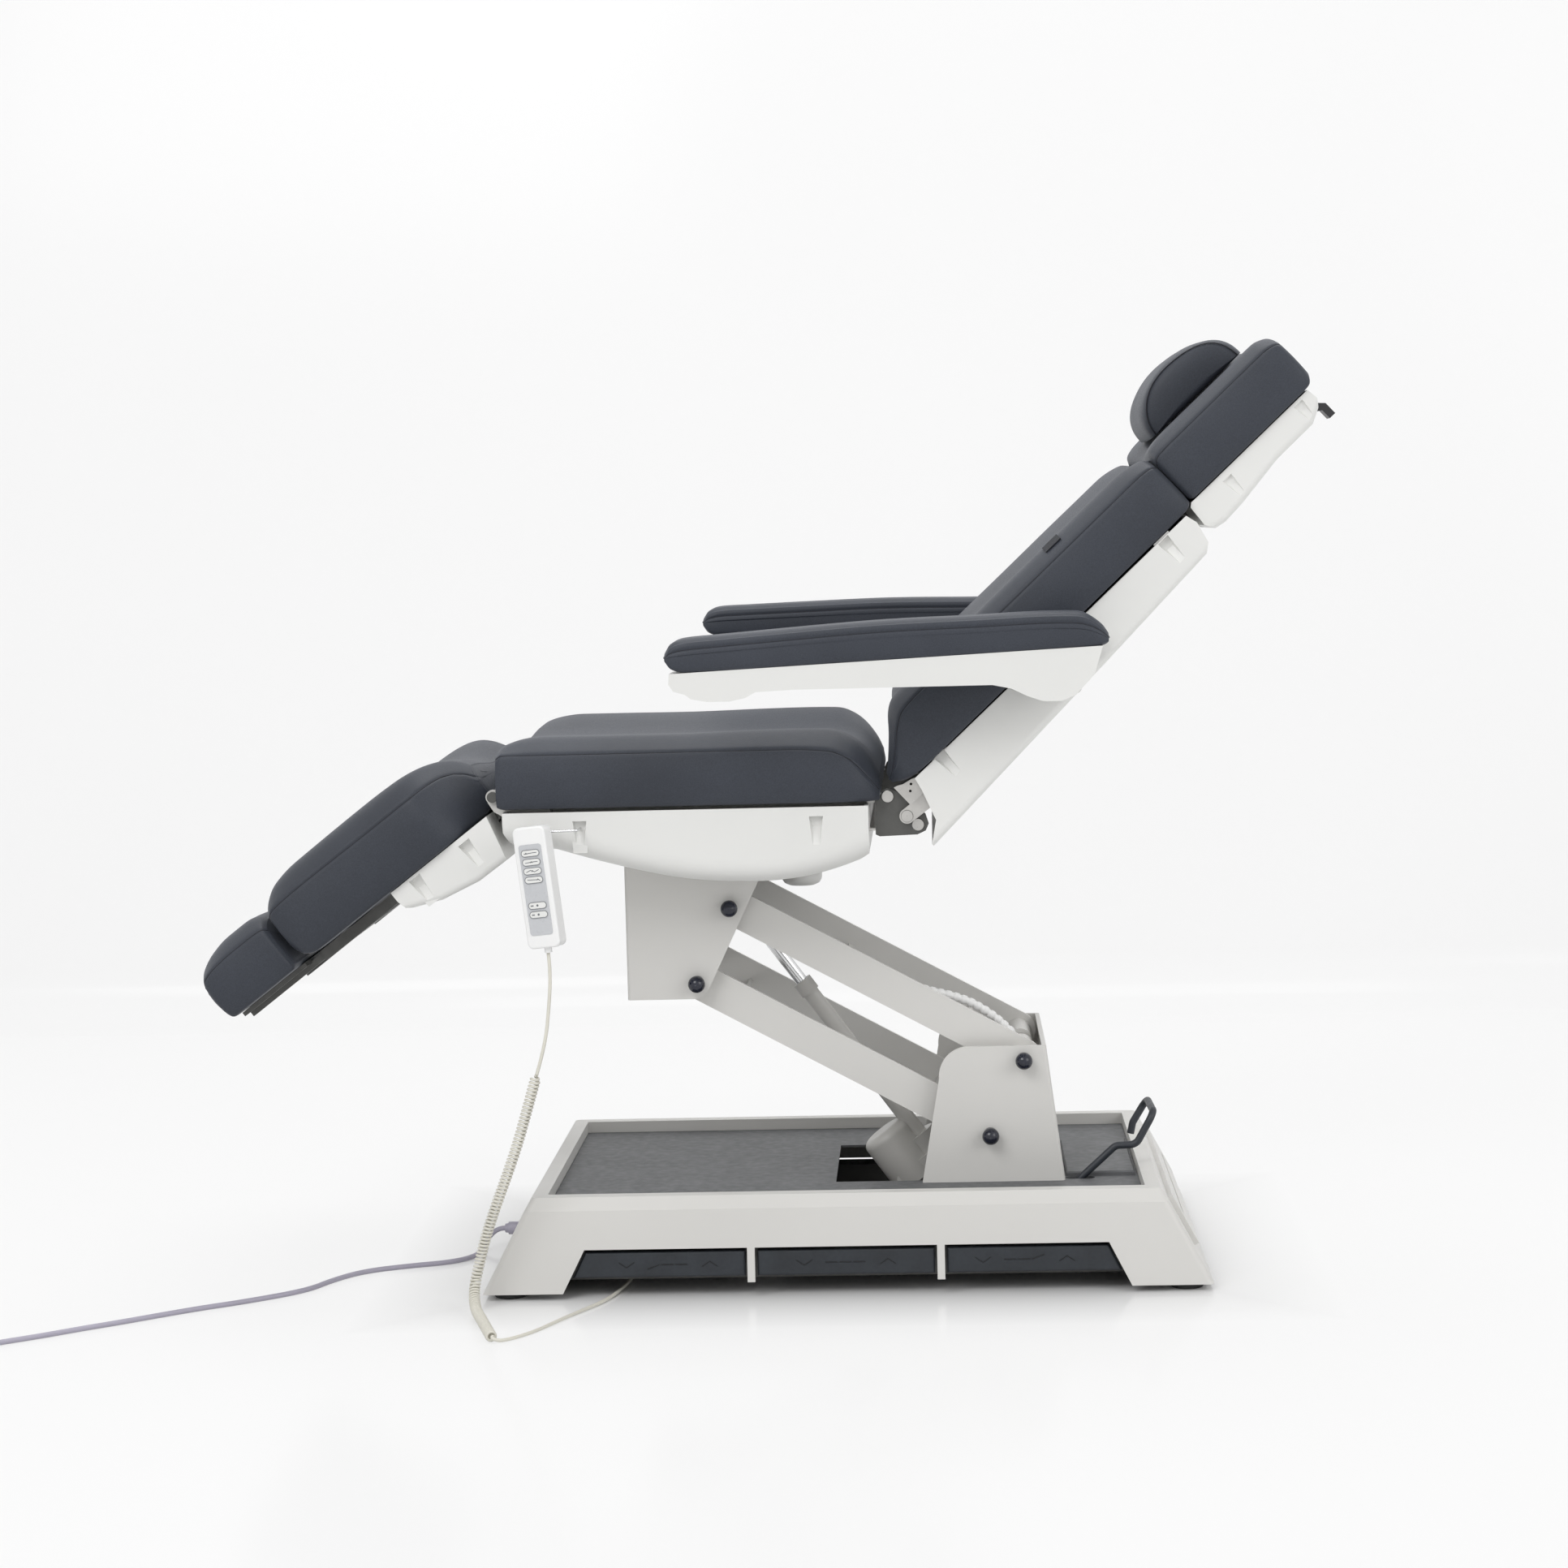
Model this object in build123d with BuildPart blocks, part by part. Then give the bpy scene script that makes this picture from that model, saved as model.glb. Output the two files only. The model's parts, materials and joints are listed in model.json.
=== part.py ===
from build123d import *

import os
from math import atan2, cos, degrees, hypot, pi, radians, sin, tan

# Treatment chair: a lift base with foot pedals, a parallel-arm lift with one actuator, and a
# seat that carries the back, head, arm and leg sections on hinges. The foot end points to -X,
# the head end to +X, the sitter's left to -Y, and Z is up from the floor. Places along X are
# counted from the middle of the base and then moved by base_shift.
base_shift = 78.4

# Small fits and walls shared by several pieces
running_clearance = 0.05
seat_gap = 0.3
overrun = 2.0
cushion_gap = 2.0
side_gap = 1.0
shell_wall = 5.0

# Base cover: a hollow frustum of painted steel with a chamfered top and a recessed deck
base_length = 960.0
base_width = 600.0
base_top_length = 828.0
base_top_width = 553.0
base_shoulder_length = 846.0
base_shoulder_width = 578.0
cover_bottom = 9.0
shoulder_height = 117.0
base_height = 133.0
base_wall = 4.0
rim_width = 20.0
recess_depth = 16.0
foot_radius = 22.0
foot_height = 9.0
foot_inset = 34.0

# Side cut-out of the cover with three pedals a side
cutout_top_half = 344.0
cutout_bottom_half = 373.0
cutout_height = 66.0
web_width = 10.0
web_offset = 124.5
pedal_gap = 3.0
pedal_top = 61.0
pedal_bottom = 27.0
pedal_thickness = 14.0
pedal_inset = 11.0
pedal_edge_radius = 3.0
web_bottom = 22.0
pedal_pin_radius = 5.0
pedal_hub_radius = 9.0
pedal_hub_length = 20.0
chevron_reach = 10.5
chevron_rise = 7.0
icon_depth = 0.8
icon_width = 2.2
icon_length = 55.0
icon_bend = 6.0
chevron_share = 0.26

# Chassis frame under the deck
chassis_bottom = 14.0
chassis_height = 60.0
chassis_rail_width = 40.0
chassis_rail_half = 220.0
chassis_rail_length = 820.0
chassis_cross_width = 36.0
chassis_wall = 4.0
chassis_cross_shares = (-0.46, -0.2, 0.27, 0.46)
pan_thickness = 4.0
pan_start = -70.0

# Deck plate with the actuator opening and a raised hatch behind the post
deck_thickness = 3.0
deck_gap = 0.5
deck_opening_start = -16.0
deck_opening_end = 188.0
deck_opening_half = 128.0
hatch_start = 297.0
hatch_end = 390.0
hatch_half = 114.0
hatch_height = 6.0
castor_slot_length = 40.0
castor_slot_width = 16.0

# Tail panel on the head end of the cover
tail_bottom = 48.0
tail_top = 112.0
tail_half = 240.0
tail_thickness = 6.0
tail_groove_depth = 2.0
tail_groove_share = 0.82
tail_groove_width = 7.0

# Lift: two pairs of arm webs between the post and the head bracket
arm_length = 446.0
arm_angle = 28.7
upper_pivot_x = 241.5
upper_pivot_z = 282.8
lower_pivot_x = 194.9
lower_pivot_z = 181.2
arm_half = 121.0
arm_wall = 6.0
arm_over = 25.0
arm_under = 24.0
arm_pin_radius = 10.0
arm_bush_radius = 16.0
arm_bush_inner_half = 22.0
arm_cross_height = 20.0
arm_cross_gap = 3.0
upper_cross_shares = (0.17, 0.6)
lower_cross_shares = (0.17, 0.85)

# Post on the base and bracket under the seat: folded plates with a back web
post_half = 143.0
plate_wall = 6.0
post_front_foot = 101.8
post_rear_foot = 294.6
post_top = 301.6
post_rear_top = 272.0
post_corner_x = 126.9
post_corner_z = 258.0
post_flat_x = 163.9
fold_share = 0.85
corner_run_share = 0.29
corner_rise_share = 0.7
bracket_front = -291.0
bracket_bottom = 373.5
bracket_top = 592.0
bracket_heel = -187.0
bracket_neck_x = -112.7
bracket_neck_z = 527.4
bracket_corner_radius = 24.0
cap_radius = 11.5
cap_neck_radius = 8.0
cap_stand = 13.0
pin_collar_radius = 16.0

# Actuator between a pivot in the base and the upper head pin
actuator_foot_x = 150.0
actuator_foot_z = 85.0
actuator_tube_radius = 11.5
actuator_collar_radius = 14.0
actuator_collar_length = 20.0
actuator_collar_reach = 349.0
actuator_rod_radius = 8.5
actuator_rod_depth = 210.0
actuator_stroke = 96.0
actuator_eye_radius = 17.0
actuator_eye_play = 3.6
actuator_eye_half = 14.0
actuator_ear_radius = 17.0
ear_foot_share = 1.6
actuator_ear_half = 16.0
actuator_ear_wall = 8.0
actuator_pin_radius = 8.0
actuator_pin_half = 40.0
gearbox_start = 20.0
gearbox_length = 44.0
gearbox_half = 30.0
gearbox_over = 22.0
gearbox_under = 62.0
gearbox_radius = 9.0
motor_radius = 35.0
motor_offset = 38.0
motor_length = 60.0
motor_dome = 12.0
tube_neck_radius = 22.0
tube_neck_length = 26.0

# Seat section
seat_front = -440.0
seat_back = 57.0
seat_bottom = 648.0
seat_crown = 741.0
seat_half = 300.0
seat_draw = 6.0
bolster_half = 232.0
shoulder_share = 0.72
dip_share = 0.12
seat_shell_front = -434.0
seat_shell_length = 477.0
seat_shell_top = 644.0
seat_shell_depth = 98.0
seat_shell_half = 290.0
seat_shell_radius = 30.0
seat_shell_shares = (
    (0, 1),
    (0, 0.735),
    (0.017, 0.571),
    (0.145, 0.48),
    (0.325, 0.23),
    (0.419, 0.122),
    (0.539, 0.031),
    (0.658, 0),
    (0.82, 0.05),
    (0.975, 0.265),
    (1, 0.35),
    (1, 1),
)
rear_beam_height = 40.0
rear_beam_half = 252.0
rear_beam_depth = 10.0
rear_beam_wall = 3.0
pocket_top_half = 9.0
pocket_bottom_half = 5.0
pocket_height = 38.0
pocket_depth = 9.0
pocket_floor = 2.5
pocket_rim = 4.0
pocket_shelf_low_share = 0.12
pocket_shelf_high_share = 0.46
rear_pocket_x = -25.0
front_pocket_x = -333.0
pocket_level = 613.0
beam_low = 582.0
beam_high = 618.0
tilt_eye_radius = 22.0
knee_plate_y = 256.0
knee_plate_wall = 6.0
knee_plate_ring = 9.4
knee_plate_points = (
    (-457.0, 656.0),
    (-449.0, 643.5),
    (-436.0, 636.0),
    (-410.0, 622.0),
    (-390.0, 622.0),
    (-390.0, 646.5),
    (-441.0, 646.5),
    (-440.8, 661.0),
)
hinge_plate_y = 247.0
hinge_plate_points = (
    (51.3, 602.0),
    (57.0, 599.5),
    (106.0, 601.0),
    (117.0, 606.0),
    (121.0, 615.0),
    (117.0, 628.0),
    (98.0, 644.0),
    (80.0, 658.0),
    (68.0, 662.2),
    (61.0, 659.5),
    (57.8, 652.0),
    (57.8, 647.6),
    (51.3, 647.6),
)
hinge_pin_radius = 6.0
hinge_stop_x = 107.0
hinge_stop_z = 614.0
hinge_head_radius = 8.0
hinge_head = 1.5
hinge_head_gap = 0.2
bracket_slot_gap = 12.0
tilt_x = 10.0
tilt_z = 606.0
tilt_tube_radius = 14.0
tilt_tube_bore = 8.0
seat_rail_half = 215.0
seat_rail_width = 30.0
seat_rail_height = 32.0
seat_rail_start = -405.0
seat_rail_end = 41.0

# Back section, drawn along its own line from the back pivot
back_pivot_x = 68.0
back_pivot_z = 652.0
back_angle = 43.0
back_half = 300.0
back_top_half = 275.0
back_start = 14.0
back_end = 545.0
back_crown = 90.0
back_under = -5.0
back_pocket_points = ((88.5, -22.4), (487.1, -27.6))
back_shell_half = 285.0
back_shell_top_half = 266.0
back_shell_end = 534.0
back_shell_depth = 87.0
back_shell_points = (
    (44.0, -6.0),
    (530.0, -8.0),
    (534.0, -24.0),
    (527.0, -52.0),
    (515.0, -62.0),
    (283.0, -74.0),
    (-5.0, -87.0),
    (26.0, -64.0),
    (40.0, -23.0),
)
back_shell_radius = 10.0
back_mouth_points = (
    (-20.0, -82.6),
    (60.0, -79.0),
    (60.0, -14.0),
    (526.0, -14.0),
    (526.0, 2.0),
    (-20.0, 2.0),
)
flat_share = 1.5
back_rail_y = 235.0
back_rail_width = 28.0
back_rail_top = -8.0
back_rail_height = 24.0
back_rail_start = 24.0
back_rail_end = 505.0
back_cross_shares = (0.1, 0.52, 0.96)
back_plate_y = 239.0
back_plate_wall = 6.0
back_bridge = 6.0
guard_y = 261.0
guard_wall = 4.0
guard_points = (
    (14.6, 3.2),
    (20.0, 1.6),
    (26.0, -1.8),
    (39.0, -4.8),
    (46.0, -8.0),
    (70.0, -8.0),
    (70.0, -14.0),
    (43.0, -26.0),
    (37.0, -29.0),
    (14.4, -28.5),
)
guard_hole_points = ((34.0, -9.0), (27.0, -15.0))
guard_hole_radius = 1.8
label_along = 382.0
label_rise = 86.6
label_side = 252.0
label_lean = 20.0
label_stand = 0.5
label_width = 26.0
label_height = 19.0
label_thickness = 1.2
link_drop_x = 25.0
link_drop_z = 26.0
link_width = 20.0
link_y = 254.0
link_wall = 5.0
link_play = 2.4
arm_plate_y = 262.0
arm_plate_wall = 6.0
arm_plate_radius = 14.0
arm_plate_lower_radius = 11.0
arm_bearing_y = 269.0
arm_bearing_wall = 5.0
arm_bearing_radius = 19.0
slot_start = 235.5
slot_end = 318.0
slot_low_y = 246.0
slot_high_y = 265.0
slot_rise = 20.0

# Armrests
arm_pivot_x = 288.0
arm_pivot_z = 818.0
armrest_inner = 312.0
armrest_width = 80.0
arm_pad_points = (
    (-208.0, 852.0),
    (-190.0, 868.0),
    (-145.0, 872.0),
    (-44.0, 879.0),
    (70.0, 886.0),
    (179.0, 889.0),
    (280.0, 892.0),
    (316.0, 892.0),
    (340.0, 883.0),
    (351.0, 871.0),
    (353.0, 853.0),
    (345.0, 849.0),
    (-196.0, 826.0),
)
arm_shell_points = (
    (-203.0, 825.3),
    (-204.0, 812.0),
    (-198.0, 803.0),
    (-184.0, 799.0),
    (-176.0, 793.0),
    (-155.0, 789.0),
    (-127.0, 789.0),
    (-107.0, 793.0),
    (-94.0, 800.0),
    (-46.0, 802.0),
    (205.0, 802.0),
    (229.0, 797.0),
    (249.0, 787.0),
    (269.0, 780.0),
    (293.0, 780.0),
    (310.0, 787.0),
    (334.0, 813.0),
    (345.0, 848.3),
)
arm_pad_radius = 14.0
arm_shell_inset = 4.0
arm_shell_wall = 4.0
arm_stub_radius = 12.0
far_arm_lift = 2.4

# Leg and foot sections, drawn along their own line from the knee pivot
knee_x = -450.0
knee_z = 663.0
leg_angle = 37.3
leg_start = 8.0
leg_end = 325.0
leg_under = -14.0
leg_crown = 98.0
leg_half = 300.0
leg_pocket_points = ((62.9, -41.3), (143.0, -36.9))
leg_shell_half = 285.0
leg_shell_points = (
    (18.0, -14.6),
    (180.0, -14.6),
    (180.0, -29.0),
    (177.0, -42.0),
    (170.0, -48.0),
    (133.0, -64.0),
    (80.0, -75.0),
    (33.0, -76.0),
)
leg_shell_radius = 10.0
foot_start = 338.0
foot_end = 452.0
foot_crown = 76.0
rail_under = -30.0
rail_top = -15.0
rail_width = 36.0
rail_half = 190.0
rail_start = 24.0
rail_end = 320.0
rail_wall = 2.5
slide_start = 40.0
slide_end = 446.0
knee_lug_points = (
    (-2.0, -8.0),
    (6.8, -2.5),
    (9.0, -8.0),
    (22.0, -16.0),
    (60.0, -15.0),
    (60.0, -30.0),
    (26.0, -30.0),
    (8.0, -18.0),
)
leg_cross_places = (72.0, 284.0)
knee_tube_half = 262.0
knee_pin_radius = 7.0
foot_plate_half = 240.0

# Head section, drawn along the back's line from its own pivot
head_pivot_along = 546.0
head_pivot_rise = -30.0
head_under = 0.0
head_start = 549.0
head_end = 768.0
head_crown = 89.0
head_half = 268.0
head_pocket_points = ((602.0, -25.0), (732.6, -20.0))
head_pocket_share = 0.8
head_pocket_depth = 5.0
head_shell_half = 255.0
head_shell_points = (
    (547.0, -1.0),
    (542.0, -5.0),
    (539.5, -34.0),
    (547.0, -47.0),
    (562.0, -50.0),
    (595.0, -48.0),
    (665.0, -38.5),
    (729.0, -38.0),
    (748.0, -28.0),
    (755.0, -17.0),
    (753.0, -1.0),
)
head_shell_radius = 10.0
head_plate_start = 556.0
head_plate_end = 740.0
head_plate_half = 200.0
head_plate_thickness = 5.0
head_pin_radius = 6.0
head_knuckle_radius = 11.0
head_knuckle_half = 9.0
head_knuckle_y = 70.0
pillow_start = 575.0
pillow_end = 742.0
pillow_height = 62.0
pillow_half = 144.0
pillow_seat = 87.2
pillow_round_share = 0.74
pillow_shares = ((-1, 0.8), (-0.96, 0.93), (-0.86, 1), (0.86, 1), (0.96, 0.93), (1, 0.8))
release_points = (
    (730.0, -16.0),
    (748.0, -20.0),
    (776.0, -36.0),
    (784.0, -44.0),
    (784.0, -63.0),
    (774.0, -63.0),
    (774.0, -48.0),
    (745.0, -29.0),
    (730.0, -28.0),
)
release_width = 34.0
release_pivot_along = 730.0
release_pivot_rise = -22.0
release_hub_radius = 6.0
release_pin_radius = 3.0
release_window_low = -37.0
release_window_high = -15.0

# Handset on its wire hook, and its lead
handset_x = -383.0
handset_y = -330.0
handset_z = 552.0
handset_width = 46.0
handset_length = 158.0
handset_depth = 24.0
handset_lean = 6.8
handset_turn = 18.0
handset_radius = 8.0
keypad_width = 32.0
keypad_length = 118.0
keypad_thickness = 0.8
key_width = 26.5
key_height = 9.6
key_rise = 0.8
key_shares = (0.286, 0.212, 0.139, 0.066, -0.145, -0.22)
hook_wire_radius = 1.6

# Castor pedal at the head end of the base
castor_x = 305.0
castor_y = -125.0
castor_z = 98.0
castor_wire_radius = 5.0
castor_hub_radius = 10.5
castor_hub_length = 18.0
castor_pin_radius = 5.0
castor_loop_width = 90.0
castor_reach = 111.0
castor_rise = 109.0
castor_bend_radius = 14.0
castor_rise_share = 0.85
castor_shares = ((0.12, 0.19), (0.53, 0.57), (0.78, 0.58), (1, 0.98))
castor_return_shares = ((0.97, 1), (0.79, 0.70), (0.76, 0.56))
castor_lug_width = 34.0
castor_lug_wall = 12.0

handset_stub_radius = 5.0
handset_stub_length = 7.0
handset_edge = 3.0
keypad_centre_share = -0.016
hook_boss_width = 14.0
hook_boss_length = 16.0
hook_boss_depth = 12.0
hook_boss_share = 0.43
hook_points = (
    (-333.0, -281.4, 622.0),
    (-333.0, -309.0, 622.0),
    (-374.6, -309.0, 621.0),
)
hook_bend_radius = 6.0

# Cords, as (x, y, z) places with X counted from the middle of the base
lead_diameter = 4.6
curl_diameter = 15.0
mains_diameter = 7.0
lead_route = (
    (-374.2, -330.6, 466.0),
    (-372.0, -330.5, 440.0),
    (-375.5, -330.0, 396.0),
    (-382.0, -331.0, 345.0),
    (-394.5, -333.0, 306.0),
)
curl_route = (
    (-394.8, -333.0, 305.4),
    (-409.0, -334.0, 258.0),
    (-421.0, -335.0, 219.0),
    (-436.0, -336.0, 178.0),
    (-452.0, -335.0, 138.0),
    (-466.0, -333.0, 100.0),
    (-477.0, -331.0, 62.0),
    (-485.0, -339.0, 26.0),
    (-479.0, -372.0, 9.0),
    (-465.0, -420.0, 8.2),
    (-450.0, -475.0, 8.4),
    (-438.0, -517.0, 8.2),
)
floor_route = (
    (-437.6, -518.0, 8.2),
    (-432.0, -523.0, 4.6),
    (-414.0, -503.0, 2.9),
    (-389.0, -467.0, 2.8),
    (-373.0, -431.0, 2.9),
    (-356.0, -393.0, 2.8),
    (-336.0, -354.0, 2.9),
    (-317.0, -315.0, 2.8),
    (-302.0, -262.0, 3.6),
    (-291.0, -212.0, 6.0),
    (-286.0, -178.0, 14.0),
    (-286.0, -178.0, 29.8),
)
mains_route = (
    (-490.4, 20.0, 28.0),
    (-502.0, 20.0, 28.0),
    (-516.0, 4.0, 14.0),
    (-519.0, -28.0, 4.4),
    (-531.0, -60.0, 3.8),
    (-558.0, -84.0, 3.8),
    (-607.0, -101.0, 3.9),
    (-665.0, -128.0, 3.8),
    (-700.0, -177.0, 3.9),
    (-725.0, -236.0, 3.8),
    (-798.0, -294.0, 3.9),
    (-846.0, -323.0, 3.8),
    (-892.0, -358.0, 3.9),
    (-938.0, -394.0, 3.8),
    (-981.0, -425.0, 3.9),
    (-1024.0, -459.0, 3.8),
    (-1068.0, -489.0, 3.9),
    (-1112.0, -522.0, 3.8),
    (-1150.0, -551.0, 3.8),
)
cord_bend_share = 0.45
coil_turns = 4
coil_inner_radius = 22.0
coil_climb_turns = 0.5
coil_total_turns = 8.2
coil_steps = 33
coil_free_end = 42.0
coil_gap = 0.8
curl_count = 100
curl_wire = 3.5
plug_width = 36.0
plug_height = 22.0
plug_length = 40.0
plug_neck_share = 0.55
plug_pin_radius = 2.4
plug_pin_length = 19.0
plug_pin_pitch = 19.0
socket_width = 28.0
socket_length = 36.0
socket_height = 30.0
gland_radius = 9.0
gland_length = 26.0
gland_y = 20.0
gland_z = 28.0


def side_plane(y=0):
    """Plane seen from the chair's left: local x runs along +X, local y up, normal to -Y."""
    return Plane(origin=(base_shift, y, 0), x_dir=(1, 0, 0), z_dir=(0, -1, 0))


def turned_plane(x, z, angle, y=0):
    """A side plane with its origin at x, z and its local x raised by angle."""
    direction = (cos(radians(angle)), 0, sin(radians(angle)))
    return Plane(origin=(x + base_shift, y, z), x_dir=direction, z_dir=(0, -1, 0))


def at_side(frame, y):
    """The same plane moved to another Y."""
    return Plane(origin=frame.origin + Vector(0, y, 0), x_dir=frame.x_dir, z_dir=frame.z_dir)


def station(frame, along):
    """Cross-section plane at a distance along a frame: local x is +Y, local y its normal."""
    return Plane(origin=frame.from_local_coords((along, 0, 0)), x_dir=(0, 1, 0), z_dir=frame.x_dir)


def plan_plane(frame, rise):
    """Plane parallel to a section's top: local x along the frame, local y is +Y."""
    return Plane(origin=frame.from_local_coords((0, rise, 0)), x_dir=frame.x_dir, z_dir=frame.y_dir)


def cushion_profile(half, under, seam, crown, valley, bolster, draw):
    """Closed cross-section with drawn-in sides, two crowned bolsters and a valley between."""
    middle = (under + seam) / 2
    shoulder = (bolster + half) / 2
    inner = bolster / 2
    with BuildSketch() as profile:
        with BuildLine():
            Line((-half + draw, under), (half - draw, under))
            for side in (-1, 1):
                foot = (side * (half - draw), under)
                edge = (side * (half - draw), seam)
                top = (side * bolster, crown)
                dip = (side * inner, (crown + valley) / 2)
                ThreePointArc(foot, (side * half, middle), edge)
                ThreePointArc(edge, (side * (shoulder + draw), seam + (crown - seam) * shoulder_share), top)
                ThreePointArc(top, (side * (bolster + inner) / 2, crown - (crown - valley) * dip_share), dip)
            ThreePointArc((-inner, (crown + valley) / 2), (0, valley), (inner, (crown + valley) / 2))
        make_face()
    return profile.sketch


def cushion(name, frame, stations, draw):
    """Loft a cushion through (along, half, under, seam, crown, valley) stations."""
    with BuildPart() as body:
        for along, half, under, seam, crown, valley in stations:
            with BuildSketch(station(frame, along)):
                add(cushion_profile(half, under, seam, crown, valley, bolster_half * half / seat_half, draw))
        loft(ruled=True)
    save(body, name)
    return body


def save(builder, name):
    """Label a finished piece and write its file."""
    builder.part.label = name
    export_step(builder.part, f"parts/{name}.step")


os.makedirs("parts", exist_ok=True)


# Base

deck_level = base_height - recess_depth
deck_length = base_top_length - 2 * rim_width
deck_width = base_top_width - 2 * rim_width
corner_radius = 2 * base_wall
foot_x = base_length / 2 - foot_inset
foot_y = base_width / 2 - foot_inset
cover_levels = (
    (base_length, base_width, cover_bottom),
    (base_shoulder_length, base_shoulder_width, shoulder_height),
    (base_top_length, base_top_width, base_height),
)


def level_plane(level):
    """Horizontal plane over the middle of the base."""
    return Plane(origin=(base_shift, 0, level))


def cutout_half(level):
    """Half length of the pedal cut-out at a height."""
    slope = (cutout_bottom_half - cutout_top_half) / (cutout_height - cover_bottom)
    return cutout_top_half + slope * (cutout_height - level)


# Looks out of the foot end along -X
gland_plane = Plane(
    origin=(base_shift - base_length / 2, gland_y, gland_z), x_dir=(0, -1, 0), z_dir=(-1, 0, 0)
)

with BuildPart() as base_cover:
    for length, width, level in cover_levels:
        with BuildSketch(level_plane(level)):
            RectangleRounded(length, width, corner_radius)
    loft(ruled=True)
    for length, width, level in cover_levels:
        with BuildSketch(level_plane(level - base_wall)):
            RectangleRounded(length - 2 * base_wall, width - 2 * base_wall, base_wall)
    loft(ruled=True, mode=Mode.SUBTRACT)
    with BuildSketch(level_plane(deck_level)):
        RectangleRounded(deck_length + 2 * base_wall, deck_width + 2 * base_wall, base_wall)
    extrude(amount=recess_depth - base_wall)
    with BuildSketch(level_plane(deck_level - overrun)):
        RectangleRounded(deck_length, deck_width, base_wall / 2)
    extrude(amount=recess_depth + 2 * overrun, mode=Mode.SUBTRACT)
    # Corner plates that rest on the feet
    with BuildSketch(level_plane(foot_height + seat_gap)):
        RectangleRounded(base_length - 2 * base_wall, base_width - 2 * base_wall, base_wall)
        Rectangle(2 * (foot_x - foot_radius), base_width, mode=Mode.SUBTRACT)
        Rectangle(base_length, 2 * (foot_y - foot_radius), mode=Mode.SUBTRACT)
    extrude(amount=base_wall)
    for side in (-1, 1):
        with BuildSketch(side_plane(side * base_width / 2)):
            with BuildLine():
                Polyline(
                    (-cutout_half(cover_bottom - overrun), cover_bottom - overrun),
                    (-cutout_top_half, cutout_height),
                    (cutout_top_half, cutout_height),
                    (cutout_half(cover_bottom - overrun), cover_bottom - overrun),
                    close=True,
                )
            make_face()
            with Locations(
                (-web_offset, (cutout_height + web_bottom) / 2),
                (web_offset, (cutout_height + web_bottom) / 2),
            ):
                Rectangle(web_width, cutout_height - web_bottom + overrun, mode=Mode.SUBTRACT)
        extrude(amount=side * rim_width, mode=Mode.SUBTRACT)
    with BuildSketch(gland_plane):
        Circle(gland_radius + running_clearance)
    extrude(amount=2 * gland_length, both=True, mode=Mode.SUBTRACT)
save(base_cover, "base_cover")

with BuildPart() as base_deck:
    with BuildSketch(level_plane(deck_level - deck_thickness)):
        Rectangle(deck_length - 2 * deck_gap, deck_width - 2 * deck_gap)
        with Locations(((deck_opening_start + deck_opening_end) / 2, 0)):
            Rectangle(deck_opening_end - deck_opening_start, 2 * deck_opening_half, mode=Mode.SUBTRACT)
        with Locations((castor_x + castor_slot_length / 4, castor_y)):
            SlotOverall(castor_slot_length, castor_slot_width, mode=Mode.SUBTRACT)
    extrude(amount=deck_thickness)
    with BuildSketch(level_plane(deck_level)):
        with Locations(((hatch_start + hatch_end) / 2, 0)):
            Rectangle(hatch_end - hatch_start, 2 * hatch_half)
    extrude(amount=hatch_height)
    hatch_rim = base_deck.faces().sort_by(Axis.Z)[-1].edges()
    chamfer(hatch_rim, length=hatch_height / 3)
save(base_deck, "base_deck")

cross_half = chassis_rail_half - chassis_rail_width / 2
chassis_top = chassis_bottom + chassis_height
under_deck = deck_level - deck_thickness
pedal_centres = (-(cutout_top_half + web_offset) / 2, 0, (cutout_top_half + web_offset) / 2)
pedal_axis = (pedal_top + pedal_bottom) / 2
pedal_face = base_width / 2 - pedal_inset
pedal_back = pedal_face - pedal_thickness
pan_end = chassis_cross_shares[2] * chassis_rail_length - chassis_cross_width / 2

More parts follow.
